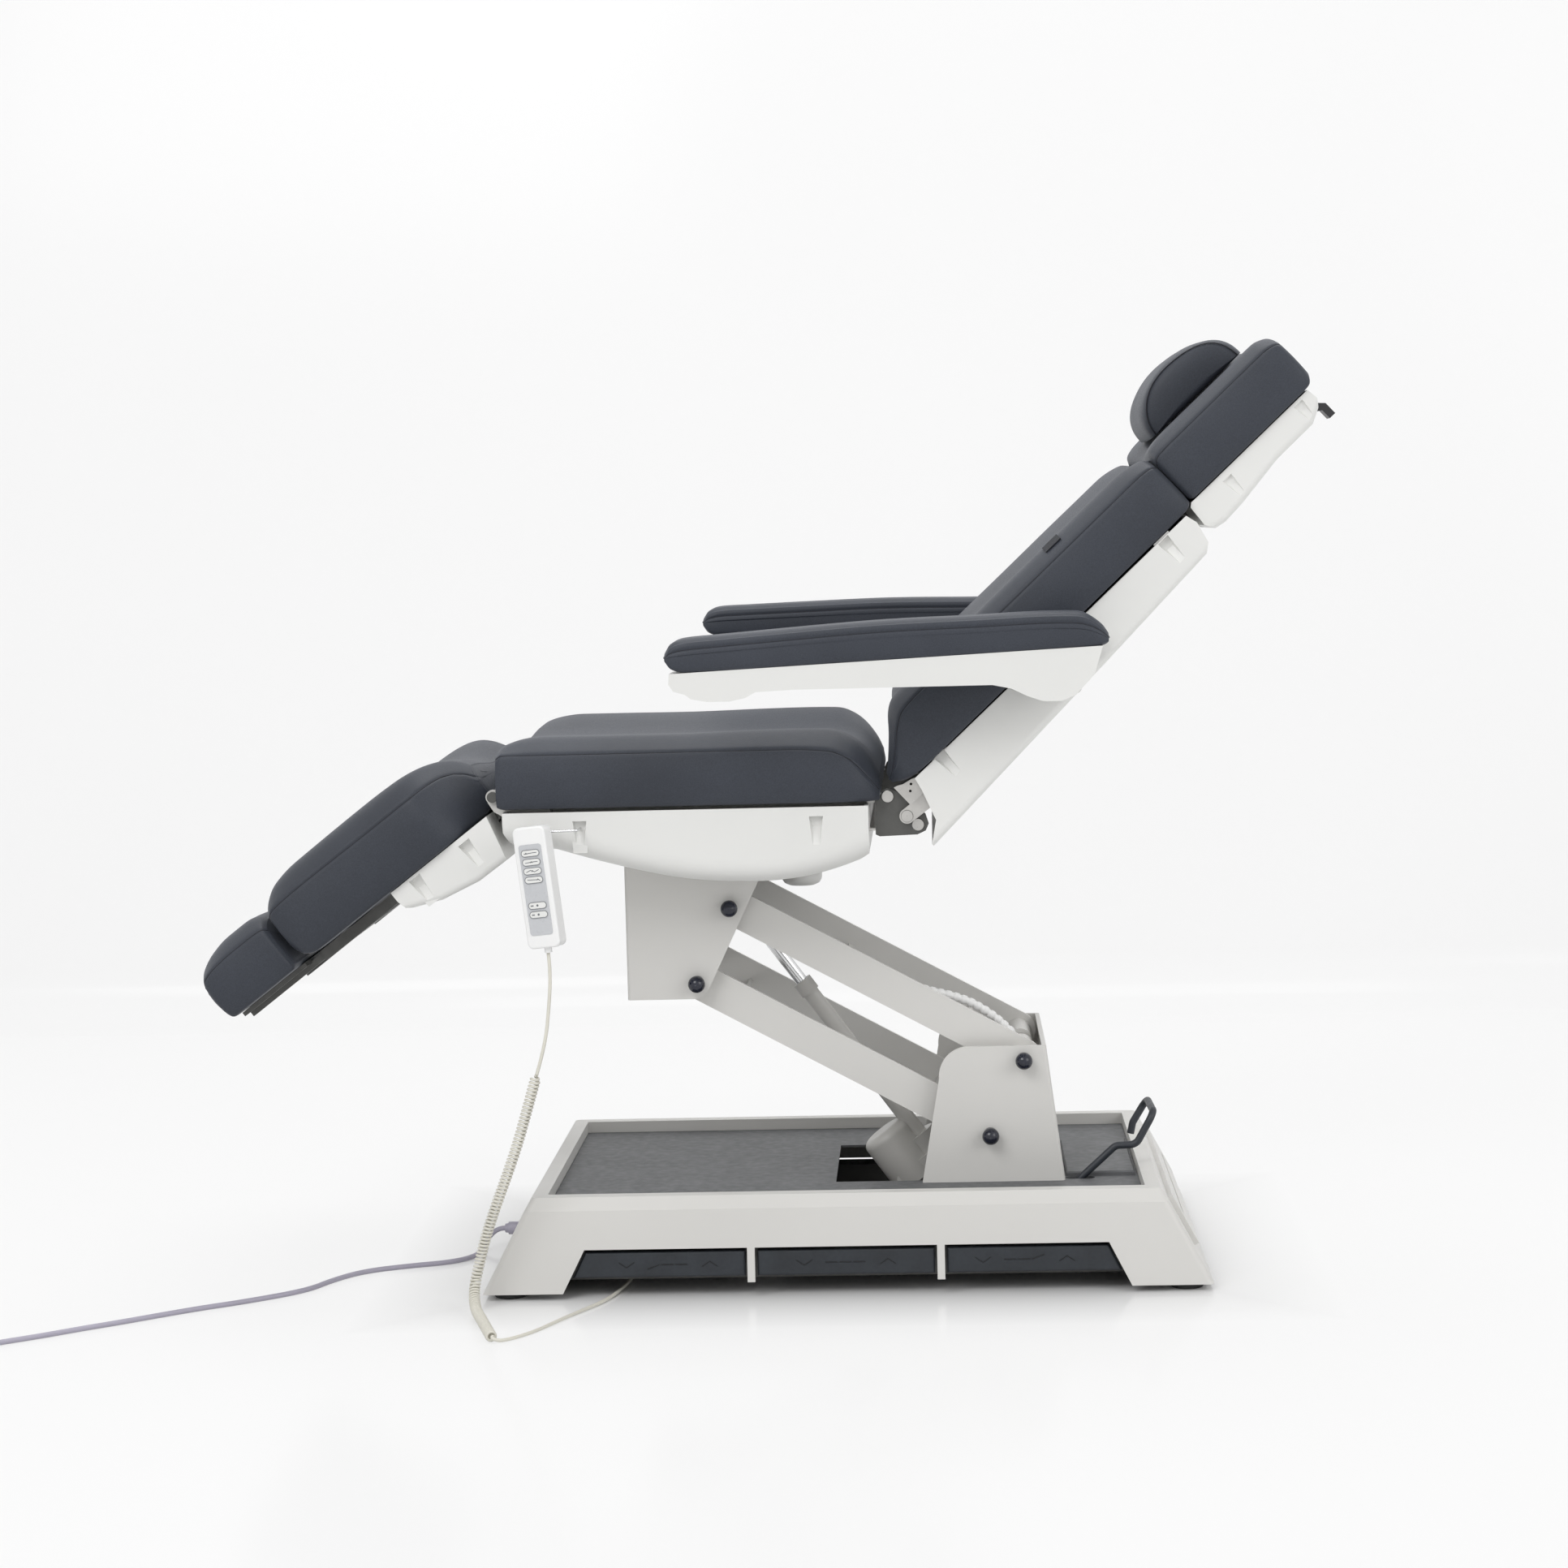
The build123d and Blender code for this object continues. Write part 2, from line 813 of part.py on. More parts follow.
with BuildPart() as chassis:
    with BuildSketch(level_plane(chassis_bottom)):
        with Locations((0, -chassis_rail_half), (0, chassis_rail_half)):
            Rectangle(chassis_rail_length, chassis_rail_width)
    extrude(amount=chassis_height)
    with BuildSketch(level_plane(chassis_bottom)):
        with Locations([(share * chassis_rail_length, 0) for share in chassis_cross_shares]):
            Rectangle(chassis_cross_width, 2 * cross_half)
    extrude(amount=under_deck - chassis_bottom)
    # The rails and cross members are channels, open below
    with BuildSketch(level_plane(chassis_bottom - overrun)):
        with Locations((0, -chassis_rail_half), (0, chassis_rail_half)):
            Rectangle(chassis_rail_length - 2 * chassis_wall, chassis_rail_width - 2 * chassis_wall)
    extrude(amount=chassis_height + overrun - chassis_wall, mode=Mode.SUBTRACT)
    with BuildSketch(level_plane(chassis_bottom - overrun)):
        with Locations([(share * chassis_rail_length, 0) for share in chassis_cross_shares]):
            Rectangle(chassis_cross_width - 2 * chassis_wall, 2 * cross_half - 2 * chassis_wall)
    extrude(amount=under_deck - chassis_bottom + overrun - chassis_wall, mode=Mode.SUBTRACT)
    with BuildSketch(level_plane(chassis_bottom)):
        with Locations(((pan_start + pan_end) / 2, 0)):
            Rectangle(pan_end - pan_start, 2 * cross_half)
    extrude(amount=pan_thickness)
    for side in (-1, 1):
        with BuildSketch(side_plane(side * (chassis_rail_half + chassis_rail_width / 2))):
            with Locations([(x, pedal_axis) for x in pedal_centres]):
                Circle(pedal_pin_radius)
        extrude(amount=-side * (pedal_back - seat_gap - chassis_rail_half - chassis_rail_width / 2))
        with BuildSketch(side_plane(side * (actuator_ear_half + actuator_ear_wall + seat_gap))):
            with BuildLine():
                ear_foot = actuator_ear_radius * ear_foot_share
                ear_level = chassis_bottom + pan_thickness
                Line((actuator_foot_x - ear_foot, ear_level), (actuator_foot_x + ear_foot, ear_level))
                Line(
                    (actuator_foot_x + ear_foot, ear_level),
                    (actuator_foot_x + actuator_ear_radius, actuator_foot_z),
                )
                ThreePointArc(
                    (actuator_foot_x + actuator_ear_radius, actuator_foot_z),
                    (actuator_foot_x, actuator_foot_z + actuator_ear_radius),
                    (actuator_foot_x - actuator_ear_radius, actuator_foot_z),
                )
                Line(
                    (actuator_foot_x - actuator_ear_radius, actuator_foot_z),
                    (actuator_foot_x - ear_foot, ear_level),
                )
            make_face()
            with Locations((actuator_foot_x, actuator_foot_z)):
                Circle(actuator_pin_radius + running_clearance, mode=Mode.SUBTRACT)
        extrude(amount=side * actuator_ear_wall)
    with BuildSketch(level_plane(chassis_top - overrun)):
        with Locations((castor_x, -cross_half - castor_lug_wall / 2)):
            Rectangle(castor_lug_width, castor_lug_wall)
    extrude(amount=castor_z + castor_hub_radius - chassis_top + overrun)
    with BuildSketch(side_plane(-cross_half)):
        with Locations((castor_x, castor_z)):
            Circle(castor_pin_radius)
    extrude(amount=-(cross_half + castor_y + castor_hub_length / 2))
    # Socket block for the handset's cord on the left rail
    with BuildSketch(level_plane(floor_route[-1][2] + running_clearance)):
        with Locations((floor_route[-1][0], -cross_half + socket_length / 2)):
            Rectangle(socket_width, socket_length)
    extrude(amount=socket_height)
save(chassis, "chassis")

with BuildPart() as base_feet:
    with BuildSketch(level_plane(0)):
        with GridLocations(2 * foot_x, 2 * foot_y, 2, 2):
            Circle(foot_radius)
    extrude(amount=foot_height)
    chamfer(base_feet.faces().group_by(Axis.Z)[0].edges(), length=foot_height / 6)
save(base_feet, "base_feet")

# The end wall's slope carries the tail panel
end_run = (base_length - base_shoulder_length) / 2
end_rise = shoulder_height - cover_bottom
end_length = hypot(end_run, end_rise)


def on_end_wall(level, stand):
    """Point on the head end's slope at a height, lifted off the wall by stand."""
    x = base_length / 2 - end_run * (level - cover_bottom) / end_rise
    return (x + stand * end_rise / end_length, level + stand * end_run / end_length)


with BuildPart() as tail_panel:
    with BuildSketch(side_plane(tail_half)):
        with BuildLine():
            Polyline(
                on_end_wall(tail_bottom, 0),
                on_end_wall(tail_bottom, tail_thickness),
                on_end_wall(tail_top, tail_thickness),
                on_end_wall(tail_top, 0),
                close=True,
            )
        make_face()
    extrude(amount=2 * tail_half)
    with BuildSketch(side_plane(tail_half * tail_groove_share)):
        with BuildLine():
            groove_level = (tail_bottom + tail_top) / 2
            Polyline(
                on_end_wall(groove_level - tail_groove_width / 2, tail_thickness - tail_groove_depth),
                on_end_wall(groove_level - tail_groove_width / 2, tail_thickness + overrun),
                on_end_wall(groove_level + tail_groove_width / 2, tail_thickness + overrun),
                on_end_wall(groove_level + tail_groove_width / 2, tail_thickness - tail_groove_depth),
                close=True,
            )
        make_face()
    extrude(amount=2 * tail_half * tail_groove_share, mode=Mode.SUBTRACT)
save(tail_panel, "tail_panel")


def chevron(turn):
    """Arrow stroke that points up for turn 1 and down for turn -1."""
    with BuildSketch() as mark:
        with BuildLine():
            low, high = -turn * chevron_rise / 2, turn * chevron_rise / 2
            Polyline(
                (-chevron_reach, low - icon_width / 2),
                (-chevron_reach, low + icon_width / 2),
                (0, high + icon_width / 2),
                (chevron_reach, low + icon_width / 2),
                (chevron_reach, low - icon_width / 2),
                (0, high - icon_width / 2),
                close=True,
            )
        make_face()
    return mark.sketch


def couch_icon(index):
    """Three strokes for the chair's sections; the moved one is raised or lowered at its end."""
    third = icon_length / 3
    with BuildSketch() as mark:
        for section in range(3):
            start, end = (section - 1.5) * third, (section - 0.5) * third - icon_width
            bend = icon_bend if section == index and index != 1 else 0
            start_drop = -bend if index == 0 else 0
            end_rise_here = bend if index == 2 else 0
            with BuildLine():
                Polyline(
                    (start, start_drop - icon_width / 2),
                    (start, start_drop + icon_width / 2),
                    (end, end_rise_here + icon_width / 2),
                    (end, end_rise_here - icon_width / 2),
                    close=True,
                )
            make_face()
    return mark.sketch


def pedal(name, index, side):
    """Rocker pedal: a slanted plate with raised direction marks and a hub on its pin."""
    inner_half = web_offset - web_width / 2 - pedal_gap
    slant = (cutout_bottom_half - cutout_top_half) / (cutout_height - cover_bottom)
    outer_top = cutout_top_half + slant * (cutout_height - pedal_top) - pedal_gap
    outer_bottom = cutout_top_half + slant * (cutout_height - pedal_bottom) - pedal_gap
    left_top, right_top, left_bottom, right_bottom = -inner_half, inner_half, -inner_half, inner_half
    inner_edge = web_offset + web_width / 2 + pedal_gap
    if index == 0:
        left_top, left_bottom, right_top, right_bottom = -outer_top, -outer_bottom, -inner_edge, -inner_edge
    if index == 2:
        left_top, left_bottom, right_top, right_bottom = inner_edge, inner_edge, outer_top, outer_bottom
    centre = pedal_centres[index]
    outward = side_plane(side * pedal_back)
    with BuildPart() as body:
        with BuildSketch(outward):
            with BuildLine():
                Polyline(
                    (left_bottom, pedal_bottom),
                    (left_top, pedal_top),
                    (right_top, pedal_top),
                    (right_bottom, pedal_bottom),
                    close=True,
                )
            make_face()
        extrude(amount=-side * pedal_thickness)
        rim = body.faces().sort_by(Axis.Y)[0 if side < 0 else -1].edges()
        fillet(rim, radius=pedal_edge_radius)
        with BuildSketch(side_plane(side * pedal_face)):
            for turn in (-1, 1):
                with Locations((centre + turn * (outer_top - inner_edge) * chevron_share, pedal_axis)):
                    add(chevron(turn))
            with Locations((centre, pedal_axis)):
                add(couch_icon(index))
        extrude(amount=side * icon_depth, mode=Mode.SUBTRACT)
        with BuildSketch(outward):
            with Locations((centre, pedal_axis)):
                Circle(pedal_hub_radius)
        extrude(amount=side * pedal_hub_length)
        with BuildSketch(outward):
            with Locations((centre, pedal_axis)):
                Circle(pedal_pin_radius + running_clearance)
        extrude(amount=side * (pedal_hub_length + overrun), mode=Mode.SUBTRACT)
    save(body, name)


for side, side_name in ((-1, "left"), (1, "right")):
    for index, place in enumerate(("leg", "height", "back")):
        pedal(f"pedal_{place}_{side_name}", index, side)


# Lift

lift_shift_x = -arm_length * cos(radians(arm_angle))
lift_shift_z = arm_length * sin(radians(arm_angle))
head_upper = (upper_pivot_x + lift_shift_x, upper_pivot_z + lift_shift_z)
head_lower = (lower_pivot_x + lift_shift_x, lower_pivot_z + lift_shift_z)
base_pivots = ((upper_pivot_x, upper_pivot_z), (lower_pivot_x, lower_pivot_z))
pin_hole = arm_pin_radius + running_clearance


def folded_side(outline, pivots, fold_x, fold_levels, front):
    """Two outlined plates joined by one upright web, with holes for the lift's pins."""
    with BuildPart() as body:
        for y in (post_half, -post_half + plate_wall):
            with BuildSketch(side_plane(y)):
                add(outline)
                with Locations(pivots):
                    Circle(pin_hole, mode=Mode.SUBTRACT)
            extrude(amount=plate_wall)
        low, high = fold_levels
        with BuildSketch(side_plane(post_half)):
            with BuildLine():
                start = fold_x(low)
                end = fold_x(high)
                step = plate_wall if front else -plate_wall
                Polyline((start, low), (end, high), (end + step, high), (start + step, low), close=True)
            make_face()
        extrude(amount=2 * post_half)
        upright = body.edges().filter_by(lambda edge: on_fold(edge, fold_x, low, high))
        fillet(upright, radius=plate_wall * fold_share)
    return body.part


def on_fold(edge, fold_x, low, high):
    """True for the two long outer edges where a plate turns into the web."""
    middle = edge.center()
    at_side_face = abs(abs(middle.Y) - post_half) < seat_gap
    at_web = abs(middle.X - base_shift - fold_x(middle.Z)) < seat_gap
    return at_side_face and at_web and edge.length > (high - low) * fold_share


def post_rear(level):
    """Rear edge of the post at a height."""
    return post_rear_foot + (post_rear_top - post_rear_foot) * (level - deck_level) / (post_top - deck_level)


with BuildSketch() as post_outline:
    with BuildLine():
        Line((post_front_foot, deck_level), (post_corner_x, post_corner_z))
        ThreePointArc(
            (post_corner_x, post_corner_z),
            (
                post_corner_x + (post_flat_x - post_corner_x) * corner_run_share,
                post_corner_z + (post_top - post_corner_z) * corner_rise_share,
            ),
            (post_flat_x, post_top),
        )
        Polyline(
            (post_flat_x, post_top),
            (post_rear_top, post_top),
            (post_rear_foot, deck_level),
            (post_front_foot, deck_level),
        )
    make_face()

with BuildPart() as lift_post:
    add(
        folded_side(
            post_outline.sketch, base_pivots, post_rear, (deck_level, post_top), front=False
        )
    )
save(lift_post, "lift_post")

bracket_rear_top = bracket_neck_x + (bracket_neck_x - bracket_heel) * (bracket_top - bracket_neck_z) / (
    bracket_neck_z - bracket_bottom
)

with BuildSketch() as bracket_outline:
    with BuildLine() as bracket_line:
        Polyline(
            (bracket_front, bracket_bottom),
            (bracket_heel, bracket_bottom),
            (bracket_rear_top, bracket_top),
            (bracket_front, bracket_top),
            close=True,
        )
    make_face()
    heel_corner = bracket_outline.vertices().sort_by(Axis.Y)[:2].sort_by(Axis.X)[-1]
    fillet(heel_corner, radius=bracket_corner_radius)

bracket_sides = folded_side(
    bracket_outline.sketch,
    (head_upper, head_lower),
    lambda level: bracket_front,
    (bracket_bottom, bracket_top),
    front=True,
)


def arm_pair(name, pivot, cross_shares):
    """Two webs with round ends, joined by cross plates and a bushed tube at each pivot."""
    frame = turned_plane(pivot[0], pivot[1], 180 - arm_angle)
    arm_cross_place = (arm_over + arm_under) / 2 - arm_cross_gap - arm_cross_height / 2
    with BuildPart() as body:
        for y in (arm_half, -arm_half + arm_wall):
            with BuildSketch(at_side(frame, y)):
                with Locations((arm_length / 2, 0)):
                    Rectangle(arm_length, arm_over + arm_under)
                with Locations((0, 0), (arm_length, 0)):
                    Circle((arm_over + arm_under) / 2)
                with Locations((0, 0), (arm_length, 0)):
                    Circle(pin_hole, mode=Mode.SUBTRACT)
            extrude(amount=arm_wall)
        for share in cross_shares:
            with BuildSketch(at_side(frame, arm_half - arm_wall)):
                with Locations((share * arm_length, arm_cross_place)):
                    Rectangle(arm_wall, arm_cross_height)
            extrude(amount=2 * (arm_half - arm_wall))
        bush_length = arm_half - arm_wall - arm_bush_inner_half
        for y in (arm_half - arm_wall, -arm_bush_inner_half):
            with BuildSketch(at_side(frame, y)):
                with Locations((0, 0), (arm_length, 0)):
                    Circle(arm_bush_radius)
                    Circle(pin_hole, mode=Mode.SUBTRACT)
            extrude(amount=bush_length)
    save(body, name)
    return body


arm_pair("upper_arms", base_pivots[0], upper_cross_shares)
arm_pair("lower_arms", base_pivots[1], lower_cross_shares)


def pivot_pins(name, pivots, small_pins=()):
    """Through pins with a spacer collar between each plate and arm web, and any small pins."""
    with BuildPart() as body:
        for x, z in pivots:
            with BuildSketch(side_plane(post_half)):
                with Locations((x, z)):
                    Circle(arm_pin_radius)
            extrude(amount=2 * post_half)
            for side in (-1, 1):
                with BuildSketch(side_plane(side * (arm_half + seat_gap))):
                    with Locations((x, z)):
                        Circle(pin_collar_radius)
                extrude(amount=-side * (post_half - plate_wall - arm_half - seat_gap))
        for x, z in small_pins:
            with BuildSketch(side_plane(actuator_pin_half)):
                with Locations((x, z)):
                    Circle(actuator_pin_radius)
            extrude(amount=2 * actuator_pin_half)
    save(body, name)


def ball_caps(name, pivots):
    """Round caps on the pin ends, each a ball on a short neck."""
    with BuildPart() as body:
        for x, z in pivots:
            for side in (-1, 1):
                outward = Plane(
                    origin=(x + base_shift, side * post_half, z), x_dir=(1, 0, 0), z_dir=(0, side, 0)
                )
                with BuildSketch(outward):
                    Circle(cap_neck_radius)
                extrude(amount=cap_stand)
                with Locations(outward.offset(cap_stand)):
                    Sphere(cap_radius)
    save(body, name)


pivot_pins("post_pins", base_pivots, ((actuator_foot_x, actuator_foot_z),))
pivot_pins("bracket_pins", (head_upper, head_lower))
ball_caps("post_caps", base_pivots)
ball_caps("bracket_caps", (head_upper, head_lower))

actuator_run = head_upper[0] - actuator_foot_x
actuator_rise = head_upper[1] - actuator_foot_z
actuator_length = hypot(actuator_run, actuator_rise)
actuator_direction = Vector(actuator_run, 0, actuator_rise).normalized()
actuator_frame = Plane(
    origin=(actuator_foot_x + base_shift, 0, actuator_foot_z),
    x_dir=actuator_direction,
    z_dir=(0, -1, 0),
)


def across(frame, along, rise=0):
    """Plane square to a frame's length, at a distance along it and above it."""
    return Plane(
        origin=frame.from_local_coords((along, rise, 0)), x_dir=frame.y_dir, z_dir=frame.x_dir
    )


with BuildPart() as actuator_body:
    with BuildSketch(at_side(actuator_frame, actuator_ear_half)):
        Circle(actuator_ear_radius)
        with Locations((gearbox_start / 2 + actuator_ear_radius / 2, 0)):
            Rectangle(gearbox_start + actuator_ear_radius, 2 * actuator_ear_radius)
        Circle(actuator_pin_radius + running_clearance, mode=Mode.SUBTRACT)
    extrude(amount=2 * actuator_ear_half)
    with BuildSketch(at_side(actuator_frame, gearbox_half)):
        with Locations((gearbox_start + gearbox_length / 2, (gearbox_under - gearbox_over) / 2)):
            RectangleRounded(gearbox_length, gearbox_over + gearbox_under, gearbox_radius)
    extrude(amount=2 * gearbox_half)
    with BuildSketch(across(actuator_frame, gearbox_start + gearbox_length / 2, motor_offset)):
        Circle(motor_radius)
    extrude(amount=gearbox_length / 2 + motor_length)
    body_ends = actuator_body.faces().sort_by(
        lambda face: actuator_frame.to_local_coords(face.center()).X
    )
    motor_end = body_ends[-1]
    fillet(motor_end.edges(), radius=motor_dome)
    with BuildSketch(across(actuator_frame, gearbox_start)):
        Circle(tube_neck_radius)
    extrude(amount=gearbox_length + tube_neck_length)
    with BuildSketch(across(actuator_frame, gearbox_start)):
        Circle(actuator_tube_radius)
    extrude(amount=actuator_collar_reach - gearbox_start)
    with BuildSketch(across(actuator_frame, actuator_collar_reach - actuator_collar_length / 2)):
        Circle(actuator_collar_radius)
    extrude(amount=actuator_collar_length)
    with BuildSketch(across(actuator_frame, actuator_collar_reach + actuator_collar_length / 2)):
        Circle(actuator_rod_radius + running_clearance)
    extrude(amount=-actuator_rod_depth - actuator_stroke - overrun, mode=Mode.SUBTRACT)
save(actuator_body, "actuator_body")

rod_start = actuator_collar_reach + actuator_collar_length / 2 - actuator_rod_depth

with BuildPart() as actuator_rod:
    with BuildSketch(across(actuator_frame, rod_start)):
        Circle(actuator_rod_radius)
    extrude(amount=actuator_length - rod_start)
    with BuildSketch(at_side(actuator_frame, actuator_eye_half)):
        with Locations((actuator_length, 0)):
            Circle(actuator_eye_radius)
    extrude(amount=2 * actuator_eye_half)
    with BuildSketch(at_side(actuator_frame, actuator_eye_half + overrun)):
        with Locations((actuator_length, 0)):
            Circle(arm_pin_radius + actuator_eye_play)
    extrude(amount=2 * (actuator_eye_half + overrun), mode=Mode.SUBTRACT)
save(actuator_rod, "actuator_rod")


# Cushions

# Each row: place along the section, half width, underside, side seam, crown and valley, as
# shares of the section's length, its half width and its height from underside to crown
seat_shares = (
    (0, 0.99, 0.02, 0.72, 0.82, 0.70),
    (0.016, 1, 0, 0.774, 0.88, 0.75),
    (0.05, 1, 0, 0.774, 0.94, 0.78),
    (0.115, 1, 0, 0.774, 0.985, 0.80),
    (0.42, 1, 0, 0.774, 0.98, 0.80),
    (0.765, 1, 0, 0.774, 1.01, 0.80),
    (0.873, 1, 0, 0.74, 1, 0.80),
    (0.925, 0.99, 0, 0.62, 0.89, 0.74),
    (0.966, 0.965, 0, 0.40, 0.69, 0.60),
    (0.99, 0.93, 0, 0.24, 0.49, 0.44),
    (1, 0.90, 0, 0.16, 0.37, 0.33),
)
back_shares = (
    (0, 0.87, 0.137, 0.21, 0.28, 0.23),
    (0.023, 0.93, 0.053, 0.284, 0.38, 0.33),
    (0.047, 0.965, 0.02, 0.39, 0.505, 0.44),
    (0.083, 0.985, 0, 0.56, 0.705, 0.61),
    (0.109, 1, 0, 0.68, 0.874, 0.74),
    (0.143, 1, 0, 0.78, 0.98, 0.83),
    (0.2, 1, 0, 0.80, 1, 0.84),
    (0.915, 1, 0, 0.80, 1, 0.84),
    (0.972, 0.995, 0, 0.79, 0.95, 0.81),
    (0.9925, 0.985, 0.02, 0.76, 0.90, 0.77),
    (1, 0.97, 0.05, 0.72, 0.85, 0.73),
)
head_shares = (
    (0, 0.975, 0.05, 0.72, 0.84, 0.74),
    (0.02, 0.99, 0, 0.80, 0.93, 0.82),
    (0.08, 1, 0, 0.83, 0.985, 0.86),
    (0.2, 1, 0, 0.83, 1, 0.87),
    (0.91, 1, 0, 0.83, 1, 0.87),
    (0.96, 0.995, 0.01, 0.80, 0.95, 0.84),
    (0.99, 0.985, 0.08, 0.77, 0.90, 0.80),
    (1, 0.97, 0.12, 0.74, 0.86, 0.76),
)
leg_shares = (
    (0, 0.72, 0.12, 0.45, 0.60, 0.50),
    (0.04, 0.76, 0.02, 0.60, 0.76, 0.64),
    (0.1, 0.87, 0, 0.70, 0.88, 0.76),
    (0.17, 0.96, 0, 0.72, 0.95, 0.82),
    (0.25, 1, 0, 0.72, 0.985, 0.87),
    (0.4, 1, 0, 0.72, 1, 0.875),
    (0.8, 1, 0, 0.73, 0.99, 0.86),
    (0.93, 1, 0, 0.72, 0.93, 0.82),
    (0.98, 0.99, 0.06, 0.70, 0.84, 0.76),
    (1, 0.98, 0.16, 0.66, 0.79, 0.72),
)
foot_shares = (
    (0, 0.98, 0.05, 0.70, 0.84, 0.76),
    (0.04, 1, 0, 0.76, 0.92, 0.84),
    (0.2, 1, 0, 0.78, 1, 0.88),
    (0.5, 1, 0, 0.78, 1, 0.88),
    (0.73, 1, 0, 0.76, 0.95, 0.84),
    (0.93, 0.995, 0, 0.70, 0.84, 0.76),
    (0.985, 0.985, 0.1, 0.62, 0.76, 0.68),
    (1, 0.97, 0.2, 0.56, 0.70, 0.62),
)


def stations_from(shares, start, end, half_start, half_end, under, crown):
    """Turn a table of shares into station sizes."""
    rows = []
    for along, width, low, seam, top, dip in shares:
        half = (half_start + (half_end - half_start) * along) * width
        levels = [under + (crown - under) * share for share in (low, seam, top, dip)]
        rows.append((start + (end - start) * along, half, *levels))
    return rows


seat_plane = side_plane()
back_frame_plane = turned_plane(back_pivot_x, back_pivot_z, back_angle)
leg_frame_plane = turned_plane(knee_x, knee_z, leg_angle)

cushion(
    "seat_cushion",
    seat_plane,
    stations_from(seat_shares, seat_front, seat_back, seat_half, seat_half, seat_bottom, seat_crown),
    seat_draw,
)
cushion(
    "back_cushion",
    back_frame_plane,
    stations_from(back_shares, back_start, back_end, back_half, back_top_half, back_under, back_crown),
    seat_draw,
)
cushion(
    "head_cushion",
    back_frame_plane,
    stations_from(head_shares, head_start, head_end, head_half, head_half, head_under, head_crown),
    seat_draw,
)
cushion(
    "leg_cushion",
    leg_frame_plane,
    stations_from(leg_shares, -leg_start, -leg_end, leg_half, leg_half, leg_under, leg_crown),
    seat_draw,
)
cushion(
    "foot_cushion",
    leg_frame_plane,
    stations_from(foot_shares, -foot_start, -foot_end, leg_half, leg_half, leg_under, foot_crown),
    seat_draw,
)

with BuildPart() as pillow:
    for along, scale_share in pillow_shares:
        with BuildSketch(at_side(back_frame_plane, -along * pillow_half)):
            with BuildLine():
                middle = (pillow_start + pillow_end) / 2
                reach = (pillow_end - pillow_start) / 2 * scale_share
                rise = pillow_height * scale_share
                Line((middle - reach, pillow_seat), (middle + reach, pillow_seat))
                ThreePointArc(
                    (middle + reach, pillow_seat),
                    (middle + reach * pillow_round_share, pillow_seat + rise * pillow_round_share),
                    (middle, pillow_seat + rise),
                )
                ThreePointArc(
                    (middle, pillow_seat + rise),
                    (middle - reach * pillow_round_share, pillow_seat + rise * pillow_round_share),
                    (middle - reach, pillow_seat),
                )
            make_face()
    loft(ruled=True)
save(pillow, "pillow")


# Seat section

def outline_of(points):
    """Closed straight-sided outline."""
    with BuildSketch() as shape:
        with BuildLine():
            Polyline(*points, close=True)
        make_face()
    return shape.sketch


def slabs(outline, frame, spans):
    """One side outline extruded between each pair of Y places."""
    with BuildPart() as body:
        for low, high in spans:
            with BuildSketch(at_side(frame, high)):
                add(outline)
            extrude(amount=high - low)
    return body.part


def both_sides(low, high):
    """The same span of Y on the left and on the right."""
    return ((-high, -low), (low, high))


def bar(frame, start, end, bottom, top, spans):
    """Straight bar along a frame."""
    return slabs(outline_of(((start, bottom), (end, bottom), (end, top), (start, top))), frame, spans)


def disc(frame, along, rise, radius, spans):
    """Round bars across a frame."""
    with BuildSketch() as shape:
        with Locations((along, rise)):
            Circle(radius)
    return slabs(shape.sketch, frame, spans)


def wedge(outline, frame, half_start, half_end, reach):
    """An outline extruded across a frame and cut to a plan that narrows along it."""
    widest = max(half_start, half_end)
    with BuildPart() as body:
        add(slabs(outline, frame, ((-widest, widest),)))
        if half_start != half_end:
            with BuildSketch(plan_plane(frame, 0)):
                with BuildLine():
                    Polyline(
                        (0, -half_start),
                        (reach, -half_end),
                        (reach, half_end),
                        (0, half_start),
                        close=True,
                    )
                make_face()
            extrude(amount=widest, both=True, mode=Mode.INTERSECT)
    return body.part


def is_long_side(edge, frame, half_start, half_end, reach, level):
    """True for a flat-running edge on a side wall below a level."""
    middle, start, end = [
        frame.to_local_coords(edge.position_at(place)) for place in (0.5, 0, 1)
    ]
    half = half_start + (half_end - half_start) * middle.X / reach
    runs_along = abs(end.X - start.X) > flat_share * abs(end.Y - start.Y)
    return abs(abs(middle.Z) - half) < seat_gap and runs_along and middle.Y < level


def rounded_wedge(outline, frame, half_start, half_end, reach, level, radius):
    """A wedge with its long lower edges rounded."""
    with BuildPart() as body:
        add(wedge(outline, frame, half_start, half_end, reach))
        edges = body.edges().filter_by(
            lambda edge: is_long_side(edge, frame, half_start, half_end, reach, level)
        )
        if radius > shell_wall:
            fillet(edges, radius=radius)
    return body.part


def tray(outline, mouth, frame, half_start, half_end, reach, level, radius):
    """An even-walled tray, rounded along its underside and open at its mouth."""
    inner = offset(outline, amount=-shell_wall, kind=Kind.INTERSECTION) + outline_of(mouth)
    outside = rounded_wedge(outline, frame, half_start, half_end, reach, level, radius)
    inside = rounded_wedge(
        inner,
        frame,
        half_start - shell_wall,
        half_end - shell_wall,
        reach,
        level,
        radius - shell_wall,
    )
    return outside - inside


def box_points(start, end, bottom, top):
    """Corners of an upright rectangle."""
    return ((start, bottom), (end, bottom), (end, top), (start, top))


